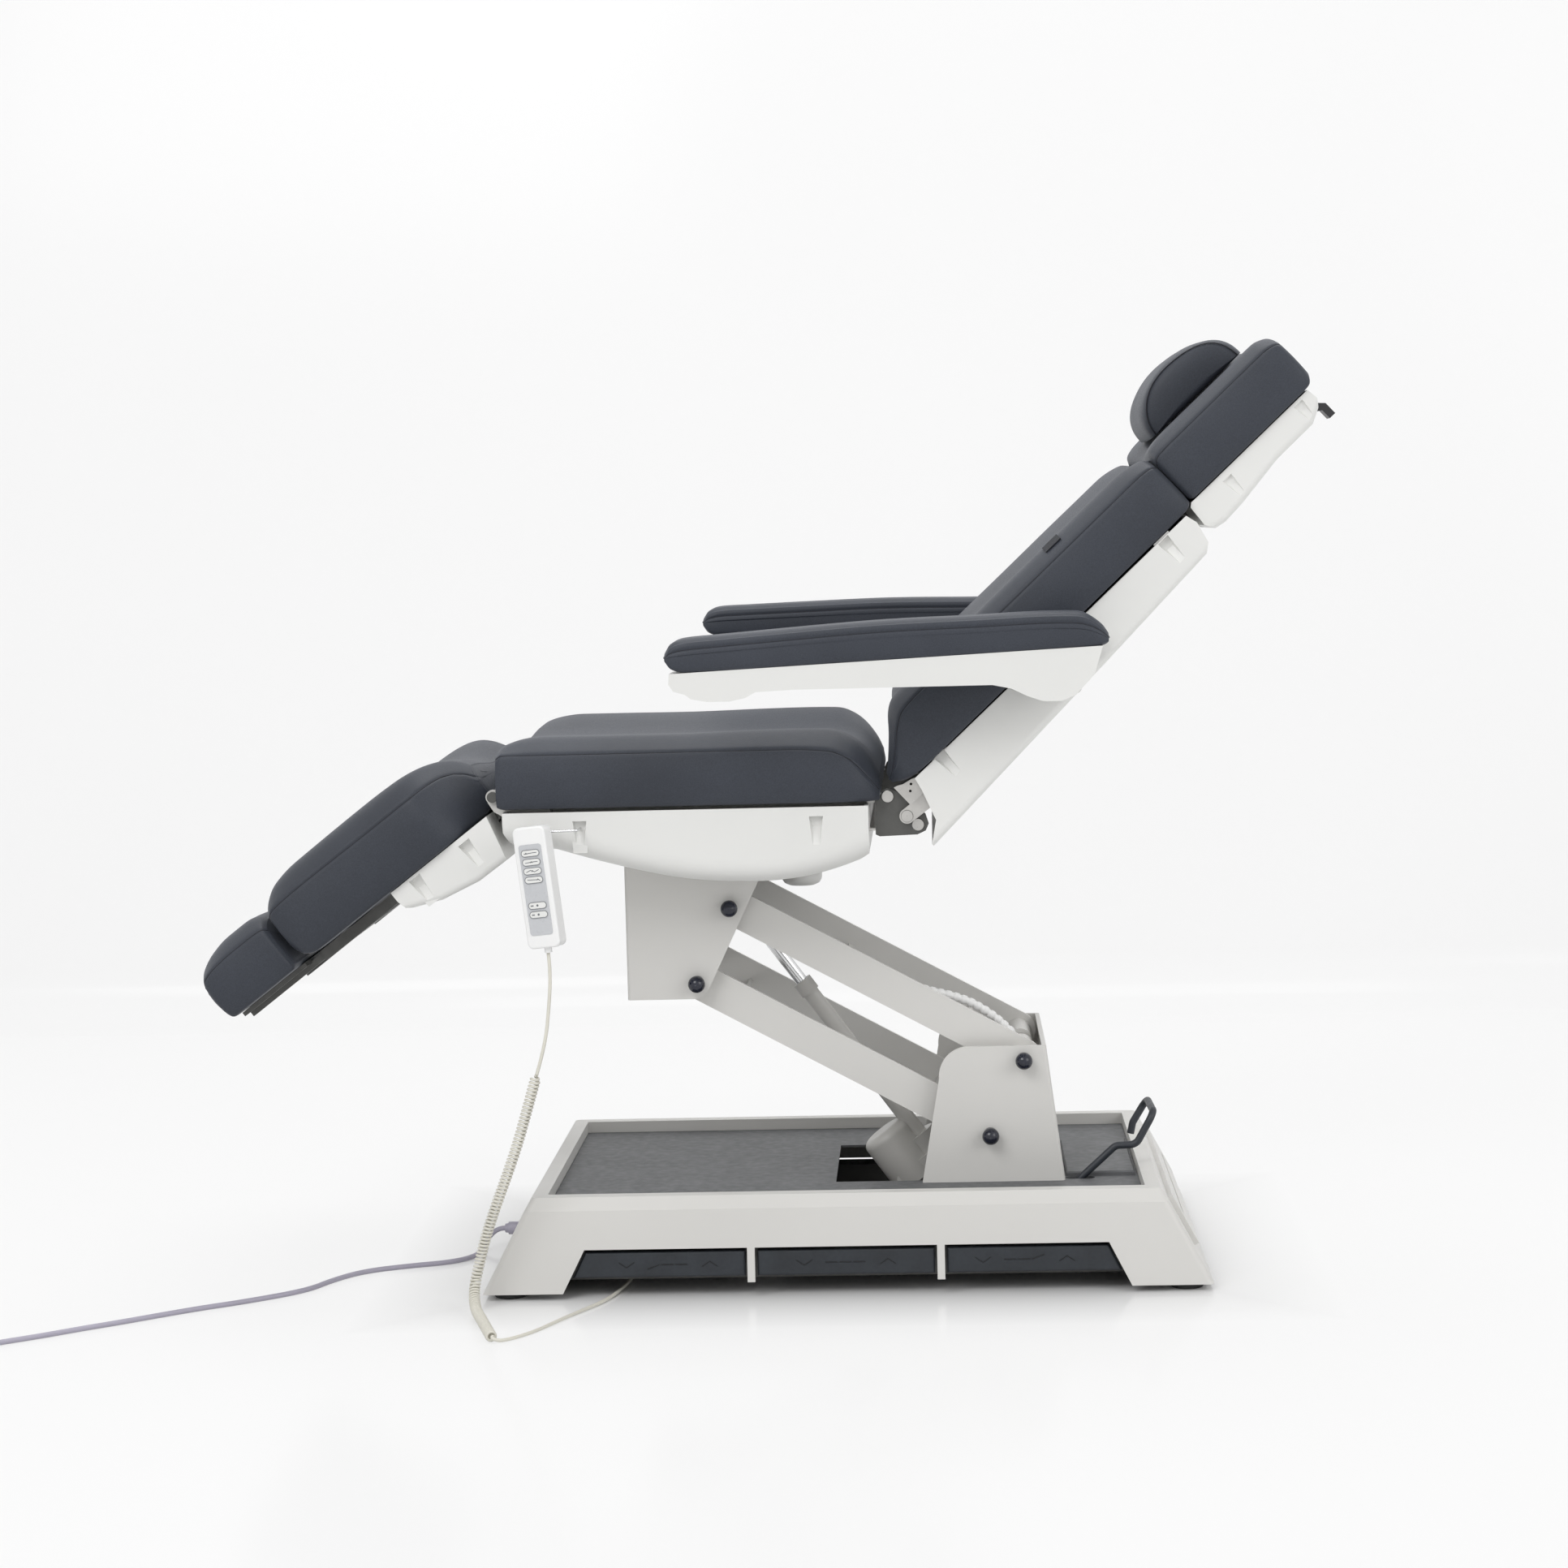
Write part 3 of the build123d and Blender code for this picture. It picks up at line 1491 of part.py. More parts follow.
def pocket_outline(along, level, share, low, high, rim=0):
    """Tapering outline between two levels of a pocket, drawn smaller by a share."""
    points = (
        (-pocket_bottom_half - rim, low - rim),
        (pocket_bottom_half + rim, low - rim),
        (pocket_top_half + rim, high + rim),
        (-pocket_top_half - rim, high + rim),
    )
    return outline_of([(along + share * x, level + share * z) for x, z in points])


def pocket(along, level, frame, half, share=1, depth=pocket_depth):
    """Scooped recess in both side walls of a shell: no depth at its foot, a shelf at its top."""
    mouth = pocket_outline(along, level, share, -pocket_height / 2, pocket_height / 2)
    shelf = pocket_outline(
        along,
        level,
        share,
        pocket_shelf_low_share * pocket_height,
        pocket_shelf_high_share * pocket_height,
    )
    with BuildPart() as body:
        for side in (-1, 1):
            with BuildSketch(at_side(frame, side * (half + seat_gap))):
                add(mouth)
            with BuildSketch(at_side(frame, side * (half - share * depth))):
                add(shelf)
            loft(ruled=True)
    return body.part


def pocket_back(along, level, frame, half, cushion_under, share=1):
    """Thickening behind a pocket on both side walls of a shell, clear of the cushion above."""
    room = (cushion_under - seat_gap - level) / share - pocket_rim
    outline = pocket_outline(
        along, level, share, -pocket_height / 2, min(pocket_height / 2, room), pocket_rim
    )
    deepest = half - share * pocket_depth - pocket_floor
    return slabs(outline, frame, both_sides(deepest, half - shell_wall / 2))


with BuildSketch() as seat_shell_outline:
    points = [
        (seat_shell_front + seat_shell_length * x, seat_shell_top - seat_shell_depth * (1 - z))
        for x, z in seat_shell_shares
    ]
    with BuildLine():
        Polyline(*points[0:4])
        ThreePointArc(*points[3:6])
        ThreePointArc(*points[5:8])
        ThreePointArc(*points[7:10])
        Polyline(*points[9:12], points[0])
    make_face()

slot_front = bracket_front - bracket_slot_gap
slot_rear = bracket_rear_top + bracket_slot_gap
seat_shell_rear = seat_shell_front + seat_shell_length
window_low = seat_shell_top - rear_beam_height + cushion_gap
knee_plate_low = knee_plate_y - knee_plate_wall

with BuildPart() as seat_shell:
    add(
        tray(
            seat_shell_outline.sketch,
            box_points(
                seat_shell_front + shell_wall,
                seat_shell_rear - shell_wall,
                seat_shell_top - 2 * shell_wall,
                seat_shell_top + overrun,
            ),
            seat_plane,
            seat_shell_half,
            seat_shell_half,
            seat_shell_length,
            seat_shell_top - seat_shell_depth / 3,
            seat_shell_radius,
        )
    )
    with BuildSketch(level_plane(seat_shell_top - seat_shell_depth - overrun)):
        with Locations(((slot_front + slot_rear) / 2, 0)):
            Rectangle(slot_rear - slot_front, 2 * (post_half + bracket_slot_gap))
    extrude(amount=seat_shell_depth / 2, mode=Mode.SUBTRACT)
    add(
        bar(
            seat_plane,
            seat_shell_rear - shell_wall - overrun,
            seat_shell_rear + overrun,
            window_low,
            seat_shell_top + overrun,
            ((-rear_beam_half - cushion_gap, rear_beam_half + cushion_gap),),
        ),
        mode=Mode.SUBTRACT,
    )
    add(
        bar(
            seat_plane,
            seat_shell_front - overrun,
            seat_shell_front + shell_wall + overrun,
            knee_plate_points[3][1] - overrun,
            seat_shell_top + overrun,
            both_sides(knee_plate_low - side_gap, knee_plate_y + side_gap),
        ),
        mode=Mode.SUBTRACT,
    )
    for x in (rear_pocket_x, front_pocket_x):
        add(pocket_back(x, pocket_level, seat_plane, seat_shell_half, seat_bottom))
        add(pocket(x, pocket_level, seat_plane, seat_shell_half), mode=Mode.SUBTRACT)
save(seat_shell, "seat_shell")

# Two rails with cross members, the tilt tube below them and the knee brackets in front
rail_low = seat_bottom - seat_gap - seat_rail_height
rail_span = both_sides(seat_rail_half - seat_rail_width / 2, seat_rail_half + seat_rail_width / 2)
full_span = ((-knee_plate_y, knee_plate_y),)
inner_span = ((-seat_rail_half, seat_rail_half),)

with BuildPart() as seat_frame:
    add(bar(seat_plane, seat_rail_start, seat_rail_end, rail_low, seat_bottom - seat_gap, rail_span))
    add(
        bar(
            seat_plane,
            seat_rail_start,
            seat_rail_start + seat_rail_width,
            rail_low,
            seat_bottom - seat_gap - overrun,
            full_span,
        )
    )
    add(disc(seat_plane, tilt_x, tilt_z, tilt_tube_radius, inner_span))
    add(slabs(outline_of(knee_plate_points), seat_plane, both_sides(knee_plate_low, knee_plate_y)))
    add(disc(seat_plane, knee_x, knee_z, knee_plate_ring, both_sides(knee_plate_low, knee_plate_y)))
    add(
        disc(seat_plane, knee_x, knee_z, knee_pin_radius + running_clearance, full_span),
        mode=Mode.SUBTRACT,
    )
    add(disc(seat_plane, tilt_x, tilt_z, tilt_tube_bore, full_span), mode=Mode.SUBTRACT)
    # Channel across the rails' rear ends, open to the rear
    beam_span = ((-rear_beam_half, rear_beam_half),)
    beam_low_level = seat_bottom - seat_gap - rear_beam_height
    beam_end = seat_rail_end + rear_beam_depth
    add(bar(seat_plane, seat_rail_end, beam_end, beam_low_level, seat_bottom - seat_gap, beam_span))
    add(
        bar(
            seat_plane,
            seat_rail_end + rear_beam_wall,
            beam_end + overrun,
            beam_low_level + rear_beam_wall,
            seat_bottom - seat_gap - rear_beam_wall,
            beam_span,
        ),
        mode=Mode.SUBTRACT,
    )
save(seat_frame, "seat_frame")

# Head bracket with the arms that reach forward to the tilt tube
with BuildPart() as head_bracket:
    tilt_span = both_sides(post_half - 2 * plate_wall, post_half - plate_wall)
    add(bracket_sides)
    add(bar(seat_plane, bracket_front + plate_wall, tilt_x, beam_low, beam_high, tilt_span))
    add(disc(seat_plane, tilt_x, tilt_z, tilt_eye_radius, tilt_span))
    add(
        disc(seat_plane, tilt_x, tilt_z, tilt_tube_radius + running_clearance, inner_span),
        mode=Mode.SUBTRACT,
    )
save(head_bracket, "head_bracket")

link_low_x = back_pivot_x + link_drop_x
link_low_z = back_pivot_z - link_drop_z
hinge_plate_low = hinge_plate_y - plate_wall
hinge_points = ((back_pivot_x, back_pivot_z), (link_low_x, link_low_z), (hinge_stop_x, hinge_stop_z))

with BuildPart() as hinge_brackets:
    add(slabs(outline_of(hinge_plate_points), seat_plane, both_sides(hinge_plate_low, hinge_plate_y)))
    for x, z in hinge_points:
        add(
            disc(
                seat_plane,
                x,
                z,
                hinge_pin_radius + running_clearance,
                both_sides(hinge_plate_low, hinge_plate_y),
            ),
            mode=Mode.SUBTRACT,
        )
save(hinge_brackets, "hinge_brackets")

hinge_ends = (
    (back_plate_y - back_plate_wall - overrun, hinge_plate_y + overrun),
    (hinge_plate_low - overrun / 2, link_y + seat_gap),
    (hinge_plate_low - overrun / 2, hinge_plate_y + hinge_head_gap),
)

with BuildPart() as hinge_pins:
    for (x, z), (low, high) in zip(hinge_points, hinge_ends):
        add(disc(seat_plane, x, z, hinge_pin_radius, both_sides(low, high)))
        add(disc(seat_plane, x, z, hinge_head_radius, both_sides(high, high + hinge_head)))
    head_edges = hinge_pins.edges().filter_by(GeomType.CIRCLE).filter_by(
        lambda edge: edge.radius > hinge_pin_radius + seat_gap
    )
    chamfer(head_edges, length=hinge_head / 3)
save(hinge_pins, "hinge_pins")


# Back section

shaft_along = back_frame_plane.to_local_coords(Vector(arm_pivot_x + base_shift, 0, arm_pivot_z)).X
shaft_rise = back_frame_plane.to_local_coords(Vector(arm_pivot_x + base_shift, 0, arm_pivot_z)).Y
arm_pivots = ((arm_pivot_x, arm_pivot_z), (arm_pivot_x + link_drop_x, arm_pivot_z - link_drop_z))
lug_low = head_knuckle_y - head_knuckle_half
lug_high = head_knuckle_y + head_knuckle_half

with BuildPart() as back_shell:
    add(
        tray(
            outline_of(back_shell_points),
            back_mouth_points,
            back_frame_plane,
            back_shell_half,
            back_shell_top_half,
            back_shell_end,
            -back_shell_depth / 2,
            back_shell_radius,
        )
    )
    add(
        bar(
            back_frame_plane,
            slot_start,
            slot_end,
            -back_shell_depth,
            -back_shell_depth + 2 * slot_rise,
            both_sides(slot_low_y, slot_high_y),
        ),
        mode=Mode.SUBTRACT,
    )
    add(
        disc(
            back_frame_plane,
            shaft_along,
            shaft_rise,
            arm_stub_radius + side_gap,
            both_sides(arm_plate_y, back_half),
        ),
        mode=Mode.SUBTRACT,
    )
    add(
        bar(
            back_frame_plane,
            back_shell_points[3][0] - 2 * shell_wall,
            back_shell_end + overrun,
            head_pivot_rise - head_knuckle_radius - overrun,
            head_pivot_rise + head_knuckle_radius + overrun,
            both_sides(lug_low - overrun, lug_high + overrun),
        ),
        mode=Mode.SUBTRACT,
    )
    for along, level in back_pocket_points:
        wall_half = back_shell_half + (back_shell_top_half - back_shell_half) * along / back_shell_end
        add(pocket_back(along, level, back_frame_plane, wall_half, back_under))
        add(pocket(along, level, back_frame_plane, wall_half), mode=Mode.SUBTRACT)
save(back_shell, "back_shell")

back_rail_low = back_rail_top - back_rail_height
back_rail_spans = both_sides(back_rail_y - back_rail_width, back_rail_y)
back_inner_span = ((-back_rail_y + back_rail_width / 2, back_rail_y - back_rail_width / 2),)
back_plate_low = back_plate_y - back_plate_wall
back_run = back_rail_end - back_rail_start

with BuildPart() as back_frame:
    add(bar(back_frame_plane, back_rail_start, back_rail_end, back_rail_low, back_rail_top, back_rail_spans))
    for share in back_cross_shares:
        place = back_rail_start + share * back_run
        add(
            bar(
                back_frame_plane,
                place - back_rail_width / 2,
                place + back_rail_width / 2,
                back_rail_low,
                back_rail_top,
                back_inner_span,
            )
        )
    # Pivot plates on the inside of the hinge brackets
    pivot_plate = outline_of(
        (
            (-hinge_head_radius, 0),
            (0, hinge_head_radius),
            (back_rail_start + back_rail_width, back_rail_top),
            (back_rail_start + back_rail_width, back_rail_low),
            (back_rail_start, back_rail_low),
            (0, -hinge_head_radius),
        )
    )
    add(slabs(pivot_plate, back_frame_plane, both_sides(back_plate_low, back_plate_y)))
    add(disc(back_frame_plane, 0, 0, hinge_head_radius + side_gap, both_sides(back_plate_low, back_plate_y)))
    add(
        disc(
            back_frame_plane,
            0,
            0,
            hinge_pin_radius + running_clearance,
            both_sides(back_plate_low, back_plate_y),
        ),
        mode=Mode.SUBTRACT,
    )
    # Bearings of the armrest shafts, carried past the links on flat bridges
    bridge_low = back_rail_top - back_bridge
    add(
        bar(
            back_frame_plane,
            shaft_along - arm_stub_radius,
            shaft_along + arm_stub_radius,
            bridge_low,
            back_rail_top,
            both_sides(back_plate_low, arm_bearing_y),
        )
    )
    bearing_low = arm_bearing_y - arm_bearing_wall
    add(
        disc(
            back_frame_plane,
            shaft_along,
            shaft_rise,
            arm_bearing_radius,
            both_sides(bearing_low, arm_bearing_y),
        )
    )
    add(
        disc(
            back_frame_plane,
            shaft_along,
            shaft_rise,
            arm_stub_radius + running_clearance,
            both_sides(bearing_low, arm_bearing_y),
        ),
        mode=Mode.SUBTRACT,
    )
    # Lugs for the head section's pin
    add(
        bar(
            back_frame_plane,
            back_rail_end - back_rail_width,
            head_pivot_along,
            head_pivot_rise - head_knuckle_half,
            head_pivot_rise + head_knuckle_half,
            both_sides(lug_low, lug_high),
        )
    )
    add(
        disc(
            back_frame_plane,
            head_pivot_along,
            head_pivot_rise,
            head_knuckle_radius,
            both_sides(lug_low, lug_high),
        )
    )
    add(
        disc(
            back_frame_plane,
            head_pivot_along,
            head_pivot_rise,
            head_pin_radius + running_clearance,
            both_sides(lug_low, lug_high),
        ),
        mode=Mode.SUBTRACT,
    )
save(back_frame, "back_frame")

# Guard plates over the links' lower ends, each with a folded flange past the link
with BuildPart() as guard_plates:
    guard_spans = both_sides(guard_y - guard_wall, guard_y)
    add(slabs(outline_of(guard_points), back_frame_plane, guard_spans))
    add(
        bar(
            back_frame_plane,
            guard_points[4][0],
            guard_points[5][0],
            bridge_low,
            back_rail_top,
            both_sides(back_plate_y, guard_y),
        )
    )
    for along, rise in guard_hole_points:
        add(
            disc(back_frame_plane, along, rise, guard_hole_radius, guard_spans),
            mode=Mode.SUBTRACT,
        )
save(guard_plates, "guard_plates")

# Bare tab sewn to the back cushion's left shoulder
label_tilt = radians(label_lean)
label_way = back_frame_plane.y_dir * cos(label_tilt) + back_frame_plane.z_dir * sin(label_tilt)
label_foot = back_frame_plane.from_local_coords((label_along, label_rise, label_side))

with BuildPart() as label_tab:
    label_origin = Vector(label_foot) + label_way * label_stand
    with BuildSketch(Plane(origin=label_origin, x_dir=back_frame_plane.x_dir, z_dir=label_way)):
        Rectangle(label_width, label_height)
    extrude(amount=label_thickness)
save(label_tab, "label_tab")

link_length = hypot(arm_pivot_x - back_pivot_x, arm_pivot_z - back_pivot_z)
link_angle = degrees(atan2(arm_pivot_z - back_pivot_z, arm_pivot_x - back_pivot_x))
link_frame = turned_plane(link_low_x, link_low_z, link_angle)


def link_span(side):
    """The layer of Y that a link takes on one side."""
    return (min(side * link_y, side * (link_y - link_wall)), max(side * link_y, side * (link_y - link_wall)))


for side, side_name in ((-1, "left"), (1, "right")):
    with BuildPart() as link:
        for place in (0, link_length):
            add(disc(link_frame, place, 0, link_width / 2, (link_span(side),)))
        add(bar(link_frame, 0, link_length, -link_width / 2, link_width / 2, (link_span(side),)))
        for place, play in ((0, running_clearance), (link_length, link_play)):
            add(
                disc(link_frame, place, 0, hinge_pin_radius + play, (link_span(side),)),
                mode=Mode.SUBTRACT,
            )
    save(link, f"link_{side_name}")


# Armrests: a tray-like shell and a soft pad, on a plate and shaft inside the back shell

arm_inner_y = armrest_inner
arm_outer_y = armrest_inner + armrest_width


def armrest(side, side_name, lift):
    """One armrest; lift turns the pad and shell about the shaft."""
    turned = Plane(
        origin=side_plane().from_local_coords((arm_pivot_x, arm_pivot_z)),
        x_dir=(cos(radians(lift)), 0, -sin(radians(lift))),
        z_dir=(0, -1, 0),
    )
    pad_points = [(x - arm_pivot_x, z - arm_pivot_z) for x, z in arm_pad_points]
    shell_points = [(x - arm_pivot_x, z - arm_pivot_z) for x, z in arm_shell_points]
    span = (min(side * arm_inner_y, side * arm_outer_y), max(side * arm_inner_y, side * arm_outer_y))
    inset = (span[0] + arm_shell_inset, span[1] - arm_shell_inset)

    with BuildPart() as pad:
        add(slabs(outline_of(pad_points), turned, (span,)))
        tops = pad.edges().filter_by(
            lambda edge: abs(
                abs(edge.center().Y) - (arm_inner_y + arm_outer_y) / 2
            ) > armrest_width / 2 - seat_gap
            and edge.length > arm_pad_radius
            and turned.to_local_coords(edge.center()).Y > pad_points[0][1]
        )
        chamfer(tops, length=arm_pad_radius / 3)
    save(pad, f"armrest_pad_{side_name}")

    with BuildPart() as shell:
        add(slabs(outline_of(shell_points), turned, (inset,)))
        hollow = offset(outline_of(shell_points), amount=-arm_shell_wall, kind=Kind.INTERSECTION)
        add(
            slabs(hollow, turned, ((inset[0] + arm_shell_wall, inset[1] - arm_shell_wall),)),
            mode=Mode.SUBTRACT,
        )
        near = side * (arm_inner_y + arm_shell_inset)
        far = side * arm_plate_y
        add(
            disc(
                side_plane(), arm_pivot_x, arm_pivot_z, arm_stub_radius, ((min(near, far), max(near, far)),)
            )
        )
    save(shell, f"armrest_shell_{side_name}")

    plate_far = side * (arm_plate_y - arm_plate_wall)
    plate_span = (min(plate_far, far), max(plate_far, far))
    pin_far = side * (link_y - link_wall - overrun)
    with BuildPart() as plate:
        with BuildSketch(at_side(side_plane(), plate_span[1])):
            with BuildLine():
                Polyline(*tangent_strip(arm_pivots, arm_plate_radius, arm_plate_lower_radius), close=True)
            make_face()
        extrude(amount=arm_plate_wall)
        add(disc(side_plane(), arm_pivot_x, arm_pivot_z, arm_plate_radius, (plate_span,)))
        add(disc(side_plane(), *arm_pivots[1], arm_plate_lower_radius, (plate_span,)))
        add(
            disc(
                side_plane(),
                *arm_pivots[1],
                hinge_pin_radius,
                ((min(pin_far, plate_far), max(pin_far, plate_far)),),
            )
        )
    save(plate, f"armrest_plate_{side_name}")


def tangent_strip(centres, first_radius, second_radius):
    """Corners of a strip that joins two circles side to side."""
    (x0, z0), (x1, z1) = centres
    reach = hypot(x1 - x0, z1 - z0)
    across_x, across_z = -(z1 - z0) / reach, (x1 - x0) / reach
    return (
        (x0 + across_x * first_radius, z0 + across_z * first_radius),
        (x1 + across_x * second_radius, z1 + across_z * second_radius),
        (x1 - across_x * second_radius, z1 - across_z * second_radius),
        (x0 - across_x * first_radius, z0 - across_z * first_radius),
    )


armrest(-1, "left", 0)
armrest(1, "right", far_arm_lift)


# Leg and foot sections; along the leg's line, places toward the foot count down from zero

def toward_foot(points):
    """Turn (toward the foot, above) pairs into the leg frame's own coordinates."""
    return [(-along, rise) for along, rise in points]


rail_spans = both_sides(rail_half - rail_width / 2, rail_half + rail_width / 2)
leg_tube_span = ((-knee_tube_half, knee_tube_half),)

with BuildPart() as leg_shell:
    add(
        tray(
            outline_of(toward_foot(leg_shell_points)),
            box_points(
                -leg_shell_points[1][0] + shell_wall,
                -leg_shell_points[0][0] - shell_wall,
                leg_shell_points[0][1] - 2 * shell_wall,
                leg_shell_points[0][1] + overrun,
            ),
            leg_frame_plane,
            leg_shell_half,
            leg_shell_half,
            leg_shell_points[1][0],
            leg_shell_points[3][1],
            leg_shell_radius,
        )
    )
    window_spans = both_sides(
        rail_half - rail_width / 2 - side_gap, rail_half + rail_width / 2 + side_gap
    )
    for along in (leg_shell_points[0][0], leg_shell_points[1][0]):
        add(
            bar(
                leg_frame_plane,
                -along - 2 * shell_wall,
                -along + 2 * shell_wall,
                rail_under - side_gap,
                leg_shell_points[0][1] + overrun,
                window_spans,
            ),
            mode=Mode.SUBTRACT,
        )
    for along, level in leg_pocket_points:
        add(pocket_back(-along, level, leg_frame_plane, leg_shell_half, leg_under))
        add(pocket(-along, level, leg_frame_plane, leg_shell_half), mode=Mode.SUBTRACT)
save(leg_shell, "leg_shell")

with BuildPart() as leg_frame:
    add(bar(leg_frame_plane, -rail_end, -rail_start, rail_under, rail_top, rail_spans))
    add(slabs(outline_of(toward_foot(knee_lug_points)), leg_frame_plane, rail_spans))
    add(disc(leg_frame_plane, 0, 0, knee_pin_radius, leg_tube_span))
    for along in leg_cross_places:
        add(
            bar(
                leg_frame_plane,
                -along,
                -along + rail_width,
                rail_under,
                rail_top,
                ((-rail_half + rail_width / 2, rail_half - rail_width / 2),),
            )
        )
    add(
        bar(
            leg_frame_plane,
            -rail_end - overrun,
            -slide_start + overrun,
            rail_under + rail_wall,
            rail_top - rail_wall,
            both_sides(rail_half - rail_width / 2 + rail_wall, rail_half + rail_width / 2 - rail_wall),
        ),
        mode=Mode.SUBTRACT,
    )
save(leg_frame, "leg_frame")

slide_inset = rail_wall + seat_gap

with BuildPart() as foot_frame:
    add(
        bar(
            leg_frame_plane,
            -slide_end,
            -slide_start,
            rail_under + slide_inset,
            rail_top - slide_inset,
            both_sides(
                rail_half - rail_width / 2 + slide_inset, rail_half + rail_width / 2 - slide_inset
            ),
        )
    )
    add(
        bar(
            leg_frame_plane,
            -slide_end,
            -foot_start,
            rail_top - slide_inset - rail_wall,
            leg_under - seat_gap,
            ((-foot_plate_half, foot_plate_half),),
        )
    )
save(foot_frame, "foot_frame")


# Head section

with BuildPart() as head_shell:
    add(
        tray(
            outline_of(head_shell_points),
            box_points(
                head_shell_points[0][0] + shell_wall,
                head_shell_points[-1][0] - shell_wall,
                head_shell_points[1][1] - shell_wall,
                head_under + overrun,
            ),
            back_frame_plane,
            head_shell_half,
            head_shell_half,
            head_end,
            head_shell_points[-3][1],
            head_shell_radius,
        )
    )
    add(
        bar(
            back_frame_plane,
            head_shell_points[2][0] - overrun,
            head_shell_points[4][0] + shell_wall,
            head_shell_points[4][1] - overrun,
            head_shell_points[1][1],
            both_sides(lug_low - overrun, lug_high + 2 * head_knuckle_half + overrun),
        ),
        mode=Mode.SUBTRACT,
    )
    add(
        bar(
            back_frame_plane,
            release_points[0][0] + overrun,
            head_shell_points[-2][0] + overrun,
            release_window_low,
            release_window_high,
            ((-release_width / 2 - overrun, release_width / 2 + overrun),),
        ),
        mode=Mode.SUBTRACT,
    )
    for along, level in head_pocket_points:
        add(
            pocket(
                along,
                level,
                back_frame_plane,
                head_shell_half,
                head_pocket_share,
                head_pocket_depth,
            ),
            mode=Mode.SUBTRACT,
        )
save(head_shell, "head_shell")

knuckle_spans = both_sides(lug_high + seat_gap, lug_high + seat_gap + 2 * head_knuckle_half)
plate_level = head_under - seat_gap

with BuildPart() as head_frame:
    add(
        bar(
            back_frame_plane,
            head_plate_start,
            head_plate_end,
            plate_level - head_plate_thickness,
            plate_level,
            ((-head_plate_half, head_plate_half),),
        )
    )
    knuckle = outline_of(
        (
            (head_pivot_along - head_knuckle_radius / 2, head_pivot_rise),
            (head_plate_start, plate_level - head_plate_thickness / 2),
            (head_plate_start + head_plate_half / 2, plate_level - head_plate_thickness / 2),
            (head_pivot_along + head_knuckle_radius, head_pivot_rise - head_knuckle_radius / 2),
        )
    )
    add(slabs(knuckle, back_frame_plane, knuckle_spans))
    add(
        disc(
            back_frame_plane,
            head_pivot_along,
            head_pivot_rise,
            head_knuckle_radius / 2 + shell_wall / 2,
            knuckle_spans,
        )
    )
    add(
        disc(
            back_frame_plane,
            head_pivot_along,
            head_pivot_rise,
            head_pin_radius,
            both_sides(lug_low - overrun, knuckle_spans[1][0]),
        )
    )
    for place in (-1, 1):
        ear = (release_width / 2 + overrun) * place
        add(
            bar(
                back_frame_plane,
                release_pivot_along - release_hub_radius,
                release_pivot_along + release_hub_radius,
                release_pivot_rise - release_hub_radius,
                plate_level - head_plate_thickness / 2,
                ((ear - overrun, ear) if place > 0 else (ear, ear + overrun),),
            )
        )
    add(
        disc(
            back_frame_plane,
            release_pivot_along,
            release_pivot_rise,
            release_pin_radius + running_clearance,
            ((-release_width, release_width),),
        ),
        mode=Mode.SUBTRACT,
    )
save(head_frame, "head_frame")

with BuildPart() as release_lever:
    lever_span = ((-release_width / 2, release_width / 2),)
    add(slabs(outline_of(release_points), back_frame_plane, lever_span))
    add(disc(back_frame_plane, release_pivot_along, release_pivot_rise, release_hub_radius, lever_span))
    pin_reach = release_width / 2 + overrun
    add(
        disc(
            back_frame_plane,
            release_pivot_along,
            release_pivot_rise,
            release_pin_radius,
            ((-pin_reach, pin_reach),),
        )
    )
save(release_lever, "release_lever")


# Handset

lean, turn = radians(handset_lean), radians(handset_turn)
handset_plane = Plane(
    origin=(handset_x + base_shift, handset_y, handset_z),
    x_dir=(cos(turn) * cos(lean), -sin(turn) * cos(lean), sin(lean)),
    z_dir=(-sin(turn), -cos(turn), 0),
)

with BuildPart() as handset:
    with BuildSketch(handset_plane.offset(-handset_depth / 2)):
        RectangleRounded(handset_width, handset_length, handset_radius)
    extrude(amount=handset_depth)
    face_edges = handset.edges().filter_by(
        lambda edge: abs(abs(handset_plane.to_local_coords(edge.center()).Z) - handset_depth / 2) < seat_gap
    )
    fillet(face_edges, radius=handset_edge)
    with BuildSketch(handset_plane.offset(-handset_depth / 2 + overrun)):
        with Locations((overrun, hook_boss_share * handset_length)):
            Rectangle(hook_boss_width, hook_boss_length)
    extrude(amount=-hook_boss_depth - overrun)
    stub_plane = Plane(
        origin=handset_plane.from_local_coords((0, -handset_length / 2 + overrun, 0)),
        x_dir=handset_plane.x_dir,
        z_dir=-handset_plane.y_dir,
    )
    with BuildSketch(stub_plane):
        Circle(handset_stub_radius)
    extrude(amount=handset_stub_length + overrun)
save(handset, "handset")

with BuildPart() as keypad:
    with BuildSketch(handset_plane.offset(handset_depth / 2)):
        with Locations((0, keypad_centre_share * handset_length)):
            RectangleRounded(keypad_width, keypad_length, handset_radius / 2)
    extrude(amount=keypad_thickness)
    with BuildSketch(handset_plane.offset(handset_depth / 2 + keypad_thickness)):
        with Locations([(0, share * handset_length) for share in key_shares]):
            SlotOverall(key_width, key_height)
    extrude(amount=key_rise)
save(keypad, "keypad")


def placed(route):
    """Route places moved from the middle of the base."""
    return [(x + base_shift, y, z) for x, y, z in route]


def swept_wire(points, radii, diameter):
    """A round wire along straight runs and tangent arcs."""
    with BuildPart() as body:
        with BuildLine() as path:
            FilletPolyline(*points, radius=radii)
        start = path.wire()
        section_plane = Plane(origin=start.position_at(0), z_dir=start.tangent_at(0))
        with BuildSketch(section_plane):
            Circle(diameter / 2)
        sweep(path=start)
    return body.part


